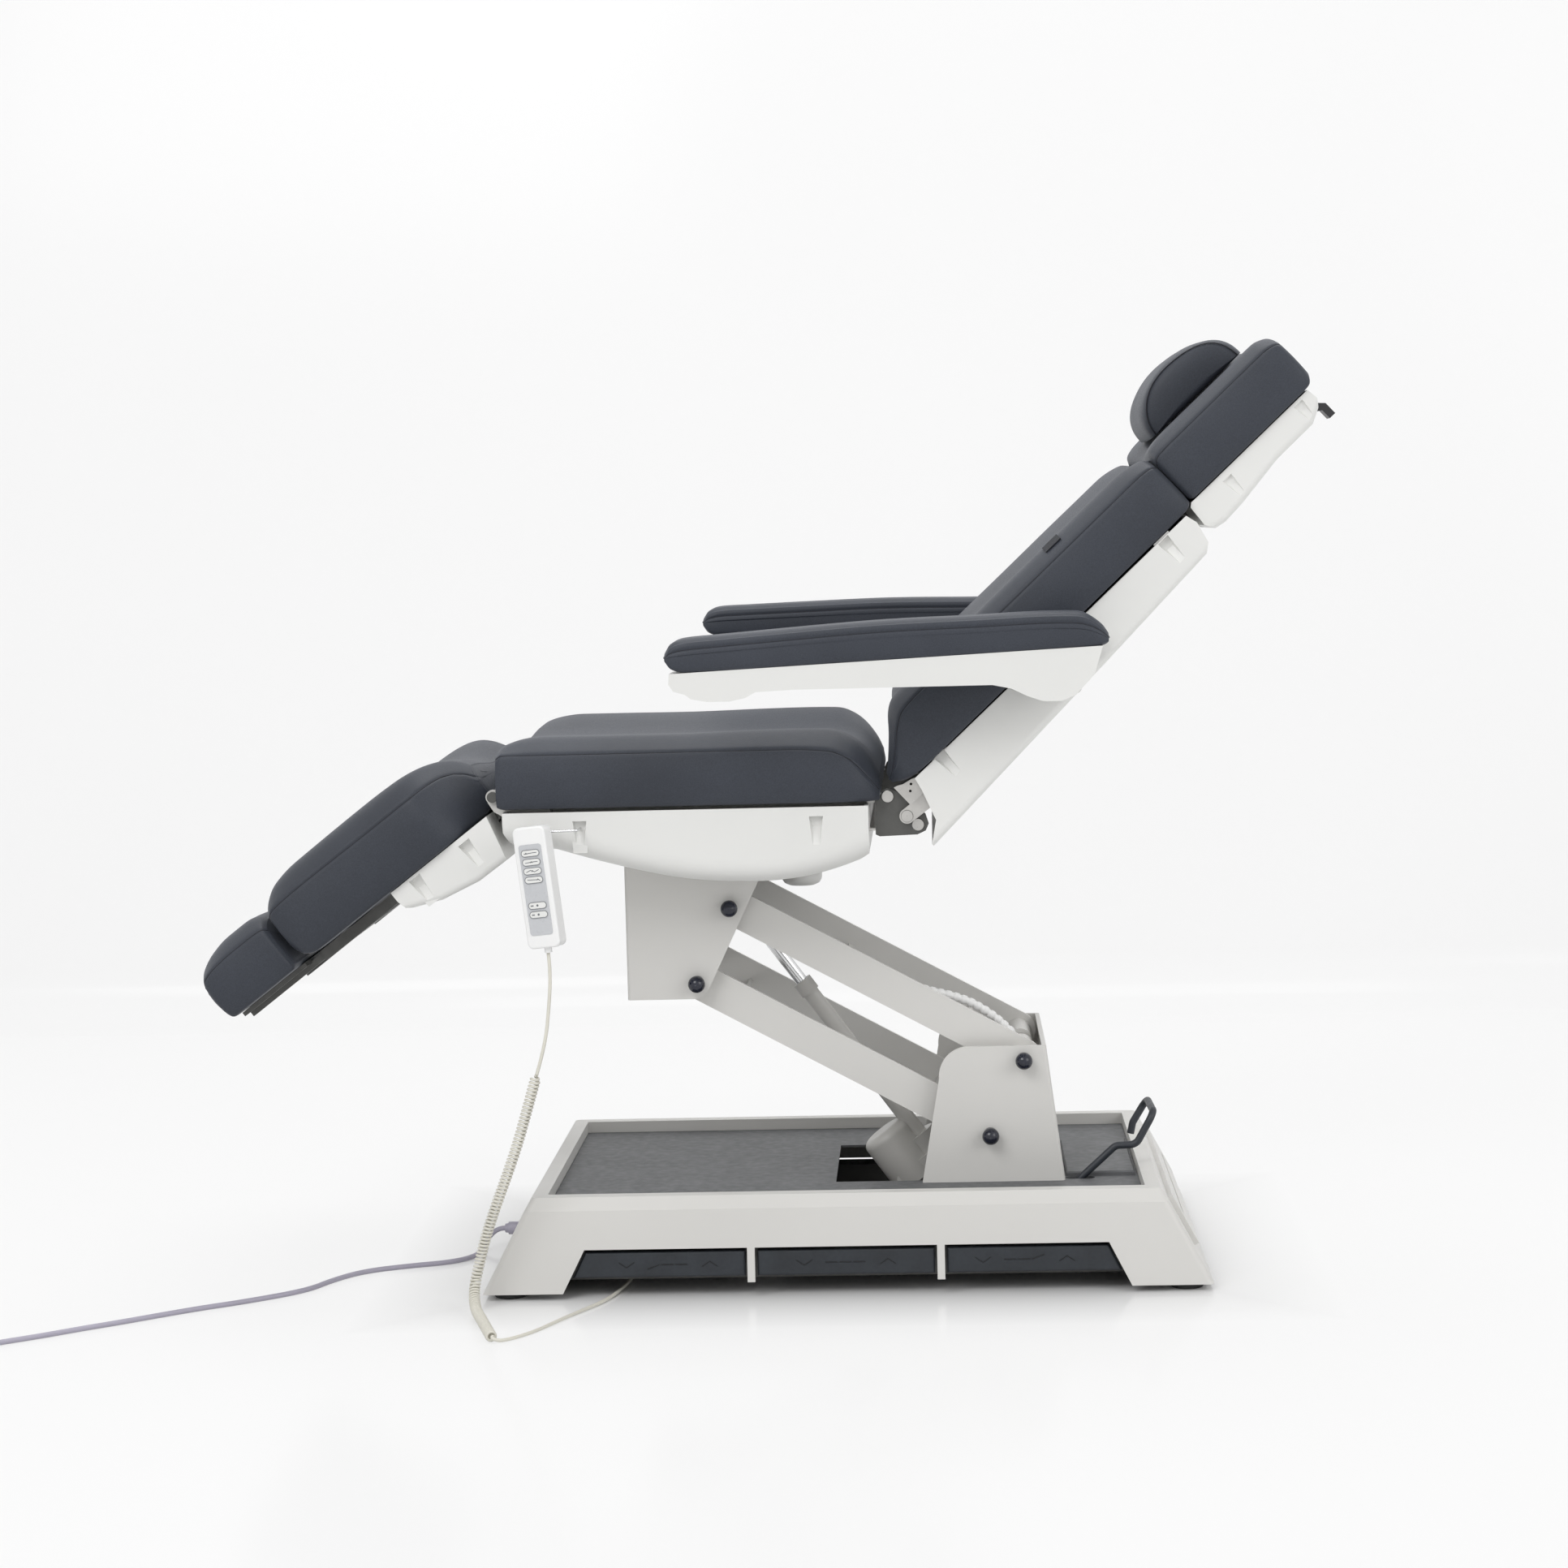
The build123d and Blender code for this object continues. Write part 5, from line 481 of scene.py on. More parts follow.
lead_route = [
    mm(-374.2, -330.6, 466.0),
    mm(-372.0, -330.5, 440.0),
    mm(-375.5, -330.0, 396.0),
    mm(-382.0, -331.0, 345.0),
    mm(-394.5, -333.0, 306.0),
]
curl_route = [
    mm(-394.8, -333.0, 305.4),
    mm(-409.0, -334.0, 258.0),
    mm(-421.0, -335.0, 219.0),
    mm(-436.0, -336.0, 178.0),
    mm(-452.0, -335.0, 138.0),
    mm(-466.0, -333.0, 100.0),
    mm(-477.0, -331.0, 62.0),
    mm(-485.0, -339.0, 26.0),
    mm(-479.0, -372.0, 9.0),
    mm(-465.0, -420.0, 8.2),
    mm(-450.0, -475.0, 8.4),
    mm(-438.0, -517.0, 8.2),
]
tail_route = [
    mm(-437.6, -518.0, 8.2),
    mm(-432.0, -523.0, 4.6),
    mm(-414.0, -503.0, 2.9),
    mm(-389.0, -467.0, 2.8),
    mm(-373.0, -431.0, 2.9),
    mm(-356.0, -393.0, 2.8),
    mm(-336.0, -354.0, 2.9),
    mm(-317.0, -315.0, 2.8),
    mm(-302.0, -262.0, 3.6),
    mm(-291.0, -212.0, 6.0),
    mm(-286.0, -178.0, 14.0),
    mm(-286.0, -178.0, 29.8),
]
mains_route = [
    mm(-490.4, 20.0, 28.0),
    mm(-502.0, 20.0, 28.0),
    mm(-516.0, 4.0, 14.0),
    mm(-519.0, -28.0, 4.4),
    mm(-531.0, -60.0, 3.8),
    mm(-558.0, -84.0, 3.8),
    mm(-607.0, -101.0, 3.9),
    mm(-665.0, -128.0, 3.8),
    mm(-700.0, -177.0, 3.9),
    mm(-725.0, -236.0, 3.8),
    mm(-798.0, -294.0, 3.9),
    mm(-846.0, -323.0, 3.8),
    mm(-892.0, -358.0, 3.9),
    mm(-938.0, -394.0, 3.8),
    mm(-981.0, -425.0, 3.9),
    mm(-1024.0, -459.0, 3.8),
    mm(-1068.0, -489.0, 3.9),
    mm(-1112.0, -522.0, 3.8),
    mm(-1150.0, -551.0, 3.8),
]

# The spare mains lead: two spiral layers, in along the floor and out on top
COIL_TURNS, COIL_CLIMB, COIL_TOTAL = 4, 0.5, 8.2
COIL_INNER, COIL_PITCH, COIL_STEPS = 0.022, 0.0078, 16
COIL_CLEARANCE = 0.0003
coil_way = (mains_route[-1] - mains_route[-2]).normalized()
coil_middle_turn = COIL_TURNS + COIL_CLIMB / 2
coil_start = mains_route[-1] + coil_way * MAINS_DIAMETER
coil_side = Vector((-coil_way.y, coil_way.x, 0)).normalized()
coil_centre = coil_start + coil_side * (COIL_INNER + coil_middle_turn * COIL_PITCH)
coil_first = math.atan2(-coil_side.y, -coil_side.x)


def coil_place(turn):
    """Place on the spare coil after a number of turns."""
    climb = min(max((turn - COIL_TURNS) / COIL_CLIMB, 0), 1)
    radius = COIL_INNER + COIL_PITCH * abs(turn - coil_middle_turn)
    angle = coil_first + 2 * pi * turn
    rise = (MAINS_DIAMETER / 2 + COIL_CLEARANCE
            + COIL_PITCH * (climb - sin(2 * pi * climb) / (2 * pi)))
    return Vector((
        coil_centre.x + radius * cos(angle), coil_centre.y + radius * sin(angle), rise))


coil_count = round(COIL_TOTAL * COIL_STEPS)
coil_line = [coil_place(step * COIL_TOTAL / coil_count) for step in range(1, coil_count + 1)]
coil_out = (coil_place(COIL_TOTAL + 0.001) - coil_place(COIL_TOTAL - 0.001)).normalized()
# Distances from the coil's end along the straight end that goes into the plug, in metres
PLUG_PLACES = (0.013, 0.028, 0.042)
mains_route += coil_line
mains_route += [coil_line[-1] + coil_out * reach for reach in PLUG_PLACES]


def even_cord(name, route, diameter, slot, *replaced):
    """A cord on the base, with one diameter all along."""
    piece = nurbs(name, route, diameter / 2)
    piece.data.materials.append(BY_SLOT[slot])
    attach(piece, "base")
    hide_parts(*replaced)
    return piece


mains = even_cord(
    "mains_lead", mains_route, MAINS_DIAMETER, "cord_grey", "mains_cord", "mains_coil")
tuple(mains_route[0])
length_of(line_of(mains_route))

# The handset's cord: a straight lead, the curly part, and a tail
lead_path = evenly(line_of(lead_route), LEAD_PLACES)
lead = tube("handset_cable", lead_path, LEAD_DIAMETER / 2, None, "cord_cream", LEAD_SIDES)
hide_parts("handset_lead")
tuple(lead_route[-1])
tuple(lead_route[0])
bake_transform(lead)

tail = even_cord("handset_cable_end", tail_route, LEAD_DIAMETER, "cord_cream", "handset_tail")

CURL_DIAMETER, CURL_WIRE, CURL_SIDES = 0.015, 0.0035, 7
CURL_COUNT, CURL_STEPS, CURL_END_STEPS = 100, 16, 14
# The lift's whole stroke shortens the curly part along this line, to this share
CURL_AXIS, CURL_KEEP = (0.2646, 0, 0.9644), 0.309

curl_centre = evenly(line_of(curl_route), CURL_COUNT * CURL_STEPS + 1)
curl_path = []
for index, (place, side, other) in enumerate(frames(curl_centre)):
    angle = 2 * pi * CURL_COUNT * index / (len(curl_centre) - 1)
    from_end = min(index, len(curl_centre) - 1 - index)
    reach = (CURL_DIAMETER - CURL_WIRE) / 2 * min(1.0, from_end / CURL_END_STEPS)
    curl_path.append(place + reach * (side * cos(angle) + other * sin(angle)))
curl = tube("handset_curl", curl_path, CURL_WIRE / 2, "base", "cord_cream", CURL_SIDES)
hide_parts("handset_coil")
tuple(tail_route[0])
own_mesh(curl)
tuple(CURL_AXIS)

tuple(lead_route[0])
length_of(lead_path)
tuple(curl_route[0])
length_of(curl_path)
tuple(tail_route[0])
length_of(line_of(tail_route))


# The ribbed cable sleeve between the upper arms, and the round cap under the seat

SLEEVE_ACROSS, SLEEVE_RADIUS, SLEEVE_GROOVE, SLEEVE_SIDES = -70.0, 0.0062, 0.8, 16
SLEEVE_RIBS, RIB_STEPS, RIB_TOP = 14, 8, (1, 2, 3, 4, 5)
sleeve_places = (
    (96.0, 374.0), (124.0, 366.4), (149.4, 360.3), (176.9, 349.7), (204.3, 331.3), (221.0, 315.5),
    (230.0, 306.0),
)
sleeve_line = evenly(
    line_of([mm(x, SLEEVE_ACROSS, z) for x, z in sleeve_places]), SLEEVE_RIBS * RIB_STEPS + 1)
sleeve_radii = [
    SLEEVE_RADIUS * (1 if step % RIB_STEPS in RIB_TOP else SLEEVE_GROOVE)
    for step in range(len(sleeve_line))
]
tube("cable_sleeve", sleeve_line, sleeve_radii, "upper_arms", "handset_white", SLEEVE_SIDES)

CAP_X, CAP_TOP, CAP_RADIUS, CAP_DEPTH, CAP_STEPS = -57.0, 531.0, 28.0, 22.0, 32
# Shares of the radius and of the depth, from the cap's rim to its lowest ring
CAP_RINGS = ((1.0, 0.0), (1.0, 0.45), (0.97, 0.62), (0.86, 0.82), (0.62, 0.95), (0.3, 0.995))
cap_points = []
for reach, drop in CAP_RINGS:
    for step in range(CAP_STEPS):
        angle = 2 * pi * step / CAP_STEPS
        cap_points.append(mm(CAP_X + CAP_RADIUS * reach * cos(angle),
                             CAP_RADIUS * reach * sin(angle), CAP_TOP - CAP_DEPTH * drop))
new_mesh("seat_cover_cap", cap_points, ring_faces(len(CAP_RINGS), CAP_STEPS, turned=True),
         "seat", "shell")


# Cushions: a cross-section that changes along each one, with rounded ends, in millimetres

CORNER = 7.0
# The corner's two points, each in and up by shares of CORNER
CORNER_POINTS = ((0.45, 0.06), (0.1, 0.3))
# Shares: of the underside that is flat, of the shoulder's rise to the crown, and of the half
# width at which the crown stands
UNDERSIDE_REACH, SHOULDER_RISE, BOLSTER = 0.97, 0.72, 232 / 300
# Shares of the way along each stretch of the cross-section
UNDER_SHARES = (0, 0.2, 0.4, 0.6, 0.8, 0.93)
SIDE_SHARES = (0.16, 0.32, 0.48, 0.64, 0.8)
SHOULDER_SHARES = (0.36, 0.52, 0.68, 0.84, 1)
TOP_SHARES = (0.86, 0.72, 0.58, 0.44, 0.3, 0.15, 0)
# The seam: the distances from it along the cover of its points, its depth, and its two lips
SEAM_STEPS = (-9.0, -5.0, -2.4, -1.0, 0.0, 1.0, 2.4, 5.0, 9.0)
SEAM_DEPTH, SEAM_WIDTH = 1.7, 1.2
LIP_RISE, LIP_PLACE, LIP_WIDTH = 0.7, 4.0, 1.9
SEAM_OUT = np.array((0.82, 0.57))
# Heights under and over the seam from which it has its whole size
SEAM_UNDER, SEAM_OVER = 30, 9
SEAM_AT = len(UNDER_SHARES) + len(CORNER_POINTS) + len(SIDE_SHARES) + SEAM_STEPS.index(0.0)
# Places of extra rows near the ends, and the rings of the ends: how far in and how far out. The
# last ring is END_INSET in, and no ring is further in than END_LIMIT of half the height.
END_PLACES = (1.5, 3.5, 6.0)
END_RINGS = ((1.2, 1.0), (3.0, 0.2), (6.0, 1.4), (12.0, 2.2))
END_INSET, END_LIMIT = 22.0, 0.8
END_COUNT = len(END_RINGS) + 1
# The slow dents of a filled cover: how deep they are, the rise from which the top has them, and
# how far out from the middle they push sideways alone
DENT, DENT_FROM, DENT_SIDE = 0.9, 20, 260
CUSHION_FILL, CUSHION_LEVELS, CUSHION_THREAD = 0.85, 1, 0.0007
# Under this, an arc's three points lie on one line
STRAIGHT = 1e-6


def smooth_rows(rows, places):
    """Rows of sizes read at other places, smoothly and without overshoot."""
    rows = np.array(rows, float)
    x = rows[:, 0]
    step = np.diff(x)
    where = np.clip(np.searchsorted(x, places) - 1, 0, len(x) - 2)
    h = step[where]
    t = (places - x[where]) / h
    out = [places]
    for y in rows.T[1:]:
        slope = np.diff(y) / step
        tangent = np.zeros_like(y)
        tangent[0], tangent[-1] = slope[0], slope[-1]
        for index in range(1, len(y) - 1):
            before, after = slope[index - 1], slope[index]
            if before * after > 0:
                weight = 2 * step[index] + step[index - 1]
                other = step[index] + 2 * step[index - 1]
                tangent[index] = (weight + other) / (weight / before + other / after)
        out.append(
            (2 * t**3 - 3 * t**2 + 1) * y[where]
            + (t**3 - 2 * t**2 + t) * h * tangent[where]
            + (-2 * t**3 + 3 * t**2) * y[where + 1]
            + (t**3 - t**2) * h * tangent[where + 1]
        )
    return np.array(out).T


def arc_points(start, middle, end, shares):
    """Points on the circle through three points, by share of the way."""
    ax, ay = start
    bx, by = middle
    cx, cy = end
    d = 2 * (ax * (by - cy) + bx * (cy - ay) + cx * (ay - by))
    if abs(d) < STRAIGHT:
        return [(ax + (cx - ax) * share, ay + (cy - ay) * share) for share in shares]
    a, b, c = ax**2 + ay**2, bx**2 + by**2, cx**2 + cy**2
    ux = (a * (by - cy) + b * (cy - ay) + c * (ay - by)) / d
    uy = (a * (cx - bx) + b * (ax - cx) + c * (bx - ax)) / d
    radius = math.hypot(ax - ux, ay - uy)
    first = math.atan2(ay - uy, ax - ux)
    through = math.atan2(by - uy, bx - ux)
    last = math.atan2(cy - uy, cx - ux)
    turn = (last - first) % (2 * pi)
    if (through - first) % (2 * pi) > turn:
        turn -= 2 * pi
    angles = [first + turn * share for share in shares]
    return [(ux + radius * cos(angle), uy + radius * sin(angle)) for angle in angles]


def seam_dip(distance):
    """Depth of a sewn seam, with its two turned lips standing a little proud."""
    groove = SEAM_DEPTH * math.exp(-((distance / SEAM_WIDTH) ** 2))
    return groove - LIP_RISE * math.exp(-(((abs(distance) - LIP_PLACE) / LIP_WIDTH) ** 2))


def half_profile(half, under, seam, crown, valley, bolster, draw):
    """One side of a cushion's cross-section, from the middle of its underside to its top."""
    side = half - draw
    foot, bulge, edge = (side, under), (half, (under + seam) / 2), (side, seam)
    shoulder = ((bolster + half) / 2 + draw, seam + (crown - seam) * SHOULDER_RISE)
    crest = (bolster, crown)
    shape = [(side * share * UNDERSIDE_REACH, under) for share in UNDER_SHARES]
    shape += [(side - CORNER * inset, under + CORNER * rise) for inset, rise in CORNER_POINTS]
    shape += arc_points(foot, bulge, edge, SIDE_SHARES)
    # The seam runs down along the side and up along the shoulder
    lower = arc_points(foot, bulge, edge, (0.93, 1))
    upper = arc_points(edge, shoulder, crest, (0, 0.06))
    down = np.array(lower[0]) - np.array(lower[1])
    up = np.array(upper[1]) - np.array(upper[0])
    down, up = down / np.linalg.norm(down), up / np.linalg.norm(up)
    reach = min(1.0, (seam - under) / SEAM_UNDER, (crown - seam) / SEAM_OVER)
    for step in SEAM_STEPS:
        point = np.array(edge) + (down if step < 0 else up) * abs(step) * reach
        shape.append(tuple(point - SEAM_OUT * seam_dip(step) * reach))
    shape += arc_points(edge, shoulder, crest, SHOULDER_SHARES)
    for share in TOP_SHARES:
        shape.append((bolster * share, valley + (crown - valley) * (1 - cos(pi * share)) / 2))
    return shape


def end_rings(ring, sign, fullness):
    """A cushion's rounded, slightly full end, sewn on around its rim."""
    widest = max(y for _, y, _ in ring)
    lowest, highest = min(rise for _, _, rise in ring), max(rise for _, _, rise in ring)
    centre, tallest = (lowest + highest) / 2, (highest - lowest) / 2
    rings = []
    for inset, out in (*END_RINGS, (END_INSET, fullness)):
        inset = min(inset, tallest * END_LIMIT)
        wide, tall = 1 - inset / widest, 1 - inset / tallest
        rings.append([
            (ring[0][0] + sign * out, y * wide, centre + (rise - centre) * tall)
            for _, y, rise in ring
        ])
    return rings


def padded(name, points, faces, levels, body, node, fill):
    """A padded piece in place of a node, smoothed by subdivision."""
    piece = new_mesh(name, points, faces, body, "upholstery")
    smoother = piece.modifiers.new("smooth", "SUBSURF")
    smoother.levels = smoother.render_levels = levels
    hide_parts(node)


def threads(name, near, far, radius, body):
    """The thread that shows in a padded piece's two seams, near black as painted shade in their
    grooves.
    """
    for side, seam in (("near", near), ("far", far)):
        tube(f"{name}_thread_{side}", seam, radius, body, "upholstery", sides=6, material=thread_seam_shade)


def dent_at(along, y, rise, crease):
    """A filled cover's dent, from slow waves of unlike lengths."""
    return DENT * crease * sin(along / 37 + y / 61) * cos(rise / 29 - y / 83 + along / 71)


def cushion(name, section, rows, body, node, draw=6.0, bolster_share=BOLSTER, spacing=9.0,
            crease=1.0, fullness=3.0):
    """A sewn cushion through (along, half, under, seam, crown, valley) rows, in millimetres."""
    rows = sorted(rows)
    start, end = rows[0][0], rows[-1][0]
    count = max(12, round((end - start) / spacing))
    places = set(np.linspace(start, end, count + 1).tolist())
    for reach in END_PLACES:
        places.update((start + reach, end - reach))
    rings = []
    for along, half, under, seam, crown, valley in smooth_rows(rows, np.array(sorted(places))):
        side = half_profile(half, under, seam, crown, valley, half * bolster_share, draw)
        ring = side + [(-y, rise) for y, rise in reversed(side[1:-1])]
        rings.append([(along, y, rise) for y, rise in ring])
    rings = (end_rings(rings[0], -1, fullness)[::-1] + rings
             + end_rings(rings[-1], 1, fullness))
    points = []
    for along, y, rise in (place for ring in rings for place in ring):
        dent = dent_at(along, y, rise, crease)
        near_side = min(1.0, abs(y) / DENT_SIDE) ** 4
        across = y + (1 if y > 0 else -1) * dent * near_side
        if rise > DENT_FROM:
            rise += dent * 0.5 * (1 - near_side)
        points.append(section.at(along, across, rise))
    size = len(rings[0])
    padded(name, points, ring_faces(len(rings), size, turned=True), CUSHION_LEVELS, body, node,
           CUSHION_FILL)
    sewn = range(END_COUNT, len(rings) - END_COUNT)
    threads(name, [points[index * size + SEAM_AT] for index in sewn],
            [points[index * size + size - SEAM_AT] for index in sewn], CUSHION_THREAD, body)


def rows_from(shares, start, end, half_start, half_end, under, crown):
    """Rows of sizes from rows of (along, width, underside, seam, crown, valley) shares."""
    rows = []
    for along, width, low, seam, top, dip in shares:
        half = (half_start + (half_end - half_start) * along) * width
        rows.append((start + (end - start) * along, half,
                     *(under + (crown - under) * share for share in (low, seam, top, dip))))
    return rows


seat_shares = (
    (0, 0.99, 0.02, 0.72, 0.82, 0.70),
    (0.016, 1, 0, 0.774, 0.88, 0.75),
    (0.05, 1, 0, 0.774, 0.94, 0.78),
    (0.115, 1, 0, 0.774, 0.985, 0.80),
    (0.42, 1, 0, 0.774, 0.98, 0.80),
    (0.765, 1, 0, 0.774, 1.01, 0.80),
    (0.873, 1, 0, 0.74, 1, 0.80),
    (0.925, 0.99, 0, 0.62, 0.89, 0.74),
    (0.966, 0.965, 0, 0.40, 0.69, 0.60),
    (0.99, 0.93, 0, 0.24, 0.49, 0.44),
    (1, 0.90, 0, 0.16, 0.37, 0.33),
)
back_shares = (
    (0, 0.87, 0.137, 0.21, 0.28, 0.23),
    (0.023, 0.93, 0.053, 0.284, 0.38, 0.33),
    (0.047, 0.965, 0.02, 0.39, 0.505, 0.44),
    (0.083, 0.985, 0, 0.56, 0.705, 0.61),
    (0.109, 1, 0, 0.68, 0.874, 0.74),
    (0.143, 1, 0, 0.78, 0.98, 0.83),
    (0.2, 1, 0, 0.80, 1, 0.84),
    (0.915, 1, 0, 0.80, 1, 0.84),
    (0.972, 0.995, 0, 0.79, 0.95, 0.81),
    (0.9925, 0.985, 0.02, 0.76, 0.90, 0.77),
    (1, 0.97, 0.05, 0.72, 0.85, 0.73),
)
head_shares = (
    (0, 0.975, 0.05, 0.72, 0.84, 0.74),
    (0.02, 0.99, 0, 0.80, 0.93, 0.82),
    (0.08, 1, 0, 0.83, 0.985, 0.86),
    (0.2, 1, 0, 0.83, 1, 0.87),
    (0.91, 1, 0, 0.83, 1, 0.87),
    (0.96, 0.995, 0.01, 0.80, 0.95, 0.84),
    (0.99, 0.985, 0.08, 0.77, 0.90, 0.80),
    (1, 0.97, 0.12, 0.74, 0.86, 0.76),
)
leg_shares = (
    (0, 0.72, 0.12, 0.45, 0.60, 0.50),
    (0.04, 0.76, 0.02, 0.60, 0.76, 0.64),
    (0.1, 0.87, 0, 0.70, 0.88, 0.76),
    (0.17, 0.96, 0, 0.72, 0.95, 0.82),
    (0.25, 1, 0, 0.72, 0.985, 0.87),
    (0.4, 1, 0, 0.72, 1, 0.875),
    (0.8, 1, 0, 0.73, 0.99, 0.86),
    (0.93, 1, 0, 0.72, 0.93, 0.82),
    (0.98, 0.99, 0.06, 0.70, 0.84, 0.76),
    (1, 0.98, 0.16, 0.66, 0.79, 0.72),
)
foot_shares = (
    (0, 0.98, 0.05, 0.70, 0.84, 0.76),
    (0.04, 1, 0, 0.76, 0.92, 0.84),
    (0.2, 1, 0, 0.78, 1, 0.88),
    (0.5, 1, 0, 0.78, 1, 0.88),
    (0.73, 1, 0, 0.76, 0.95, 0.84),
    (0.93, 0.995, 0, 0.70, 0.84, 0.76),
    (0.985, 0.985, 0.1, 0.62, 0.76, 0.68),
    (1, 0.97, 0.2, 0.56, 0.70, 0.62),
)

cushion(
    "cushion_seat", SEAT,
    rows_from(seat_shares, start=-440, end=57, half_start=300, half_end=300, under=648, crown=741),
    "seat", "seat_cushion")
cushion(
    "cushion_back", BACK,
    rows_from(back_shares, start=19, end=545, half_start=300, half_end=275, under=-5, crown=90),
    "back", "back_cushion")
cushion(
    "cushion_head", BACK,
    rows_from(head_shares, start=549, end=768, half_start=268, half_end=268, under=0, crown=89),
    "headrest", "head_cushion")
cushion(
    "cushion_leg", LEG,
    rows_from(leg_shares, start=-8, end=-325, half_start=300, half_end=300, under=-14, crown=98),
    "leg", "leg_cushion")
cushion(
    "cushion_foot", LEG,
    rows_from(foot_shares, start=-338, end=-452, half_start=300, half_end=300, under=-14,
              crown=76),
    "foot", "foot_cushion")

# Armrest pads: (along from the shaft, half width, underside, seam, crown, valley)
pad_rows = (
    (-496, 33, 22, 27, 34, 34),
    (-490, 37, 14, 33, 44, 44),
    (-478, 39.5, 9, 37, 50, 51),
    (-433, 40, 9.5, 41, 54, 55),
    (-332, 40, 14, 48, 61, 62),
    (-218, 40, 18.5, 55, 68, 69),
    (-109, 40, 23, 58, 71, 72),
    (-8, 40, 27.5, 61, 74, 75),
    (28, 40, 29.5, 60, 74, 74.5),
    (45, 39, 30, 55, 67, 67),
    (58, 36, 31, 47, 56, 56),
    (64, 32, 34, 41, 47, 47),
)
for side_name, section in (("left", PAD_LEFT), ("right", PAD_RIGHT)):
    cushion(
        f"pad_{side_name}", section, pad_rows, f"armrest_{side_name}",
        f"armrest_pad_{side_name}", draw=1.5, bolster_share=0.55, spacing=8.0, crease=0.35,
        fullness=1.5)

# The pillow: a half round roll with gathered ends, lying across the head cushion
PILLOW_ALONG, PILLOW_HALF_DEPTH, PILLOW_HEIGHT, PILLOW_HALF_WIDTH = 658.5, 83.0, 61.0, 143.0
PILLOW_LEVEL, PILLOW_CLEARANCE, PILLOW_STEPS = 87.6, 1.2, 44
# Places across, and the share of the whole cross-section there, for one half
PILLOW_HALF = (
    (0.3, 1.01), (0.6, 1.0), (0.86, 0.985), (0.94, 0.9), (0.975, 0.78), (0.995, 0.5), (1.0, 0.25))
PILLOW_SEAM_RING = 3
# The flattened underside: its share of the height, and its fuller outline's power
PILLOW_UNDERSIDE, PILLOW_UNDERSIDE_POWER, PILLOW_TOP_POWER = 0.12, 0.6, 0.86
PILLOW_SAG, PILLOW_END_LIFT, PILLOW_PUFF = 0.1, 12, 0.012
PILLOW_FILL, PILLOW_LEVELS, PILLOW_THREAD = 0.9, 2, 0.0008
pillow_rings = [(-place, share) for place, share in reversed(PILLOW_HALF)]
pillow_rings += [(0, 1.0), *PILLOW_HALF]


def pillow_place(place, share, angle):
    """A point of the pillow: its place across, its section's share, and the turn around it."""
    along, rise = cos(angle), sin(angle)
    if rise < 0:
        rise *= PILLOW_UNDERSIDE
        along = math.copysign(abs(along) ** PILLOW_UNDERSIDE_POWER, along)
    else:
        rise = rise ** PILLOW_TOP_POWER
    puff = 1 + PILLOW_PUFF * sin(5 * angle + 9 * place)
    level = PILLOW_LEVEL + PILLOW_END_LIFT * (1 - share)
    return BACK.at(
        PILLOW_ALONG + PILLOW_HALF_DEPTH * share * along * puff,
        place * PILLOW_HALF_WIDTH,
        level + max(0, PILLOW_HEIGHT * share * rise * puff)
        + min(0, PILLOW_HEIGHT * PILLOW_SAG * rise) + PILLOW_CLEARANCE,
    )


pillow_points = [
    pillow_place(place, share, 2 * pi * step / PILLOW_STEPS)
    for place, share in pillow_rings for step in range(PILLOW_STEPS)
]
padded("pillow_roll", pillow_points, ring_faces(len(pillow_rings), PILLOW_STEPS), PILLOW_LEVELS,
       "headrest", "pillow", PILLOW_FILL)
pillow_seams = [
    pillow_points[ring * PILLOW_STEPS:ring * PILLOW_STEPS + PILLOW_STEPS // 2 + 1]
    for ring in (PILLOW_SEAM_RING, len(pillow_rings) - 1 - PILLOW_SEAM_RING)
]
threads("pillow_roll", *pillow_seams, PILLOW_THREAD, "headrest")


# Marks: flat dark inlays in the pedals' engraving, painted shade in its recesses, and the print of
# the handset's keys

# Thicknesses of the inlays, in metres
MARK_THICKNESS, KEY_THICKNESS = 0.0003, 0.00012


def inlay(name, outlines, place, material, body, slot, thickness=KEY_THICKNESS):
    """Thin flat shapes; each outline is a list of (u, v) and place puts them in space."""
    points, faces = [], []
    for outline in outlines:
        first, size = len(points), len(outline)
        for out in (0, thickness):
            points += [place(u, v, out) for u, v in outline]
        faces.append(tuple(reversed(range(first, first + size))))
        faces.append(tuple(range(first + size, first + 2 * size)))
        for step in range(size):
            turn = (step + 1) % size
            faces.append((first + step, first + turn, first + size + turn, first + size + step))
    new_mesh(name, points, faces, body, slot, material, smooth=False)


def stroke(points, width):
    """Outline of a bent line of one width."""
    line = [Vector((u, v)) for u, v in points]
    upper, lower = [], []
    for index, place in enumerate(line):
        way = (line[min(index + 1, len(line) - 1)] - line[max(index - 1, 0)]).normalized()
        side = Vector((-way.y, way.x)) * width / 2
        upper.append(tuple(place + side))
        lower.append(tuple(place - side))
    return upper + lower[::-1]


# The pedals' engraving, in millimetres, as in the part's source
PEDAL_FACE, PEDAL_AXIS, ENGRAVING_DEPTH = 289.0, 44.0, 0.7
PEDAL_USES = {"leg": -234.25, "height": 0.0, "back": 234.25}
CHEVRON_OUT, CHEVRON_REACH, CHEVRON_RISE, ICON_WIDTH = 54.87, 10.0, 7.0, 1.7
ICON_THIRD, ICON_BEND, ICON_START, ICON_END = 55.0 / 3, 6.0, 0.3, 0.8


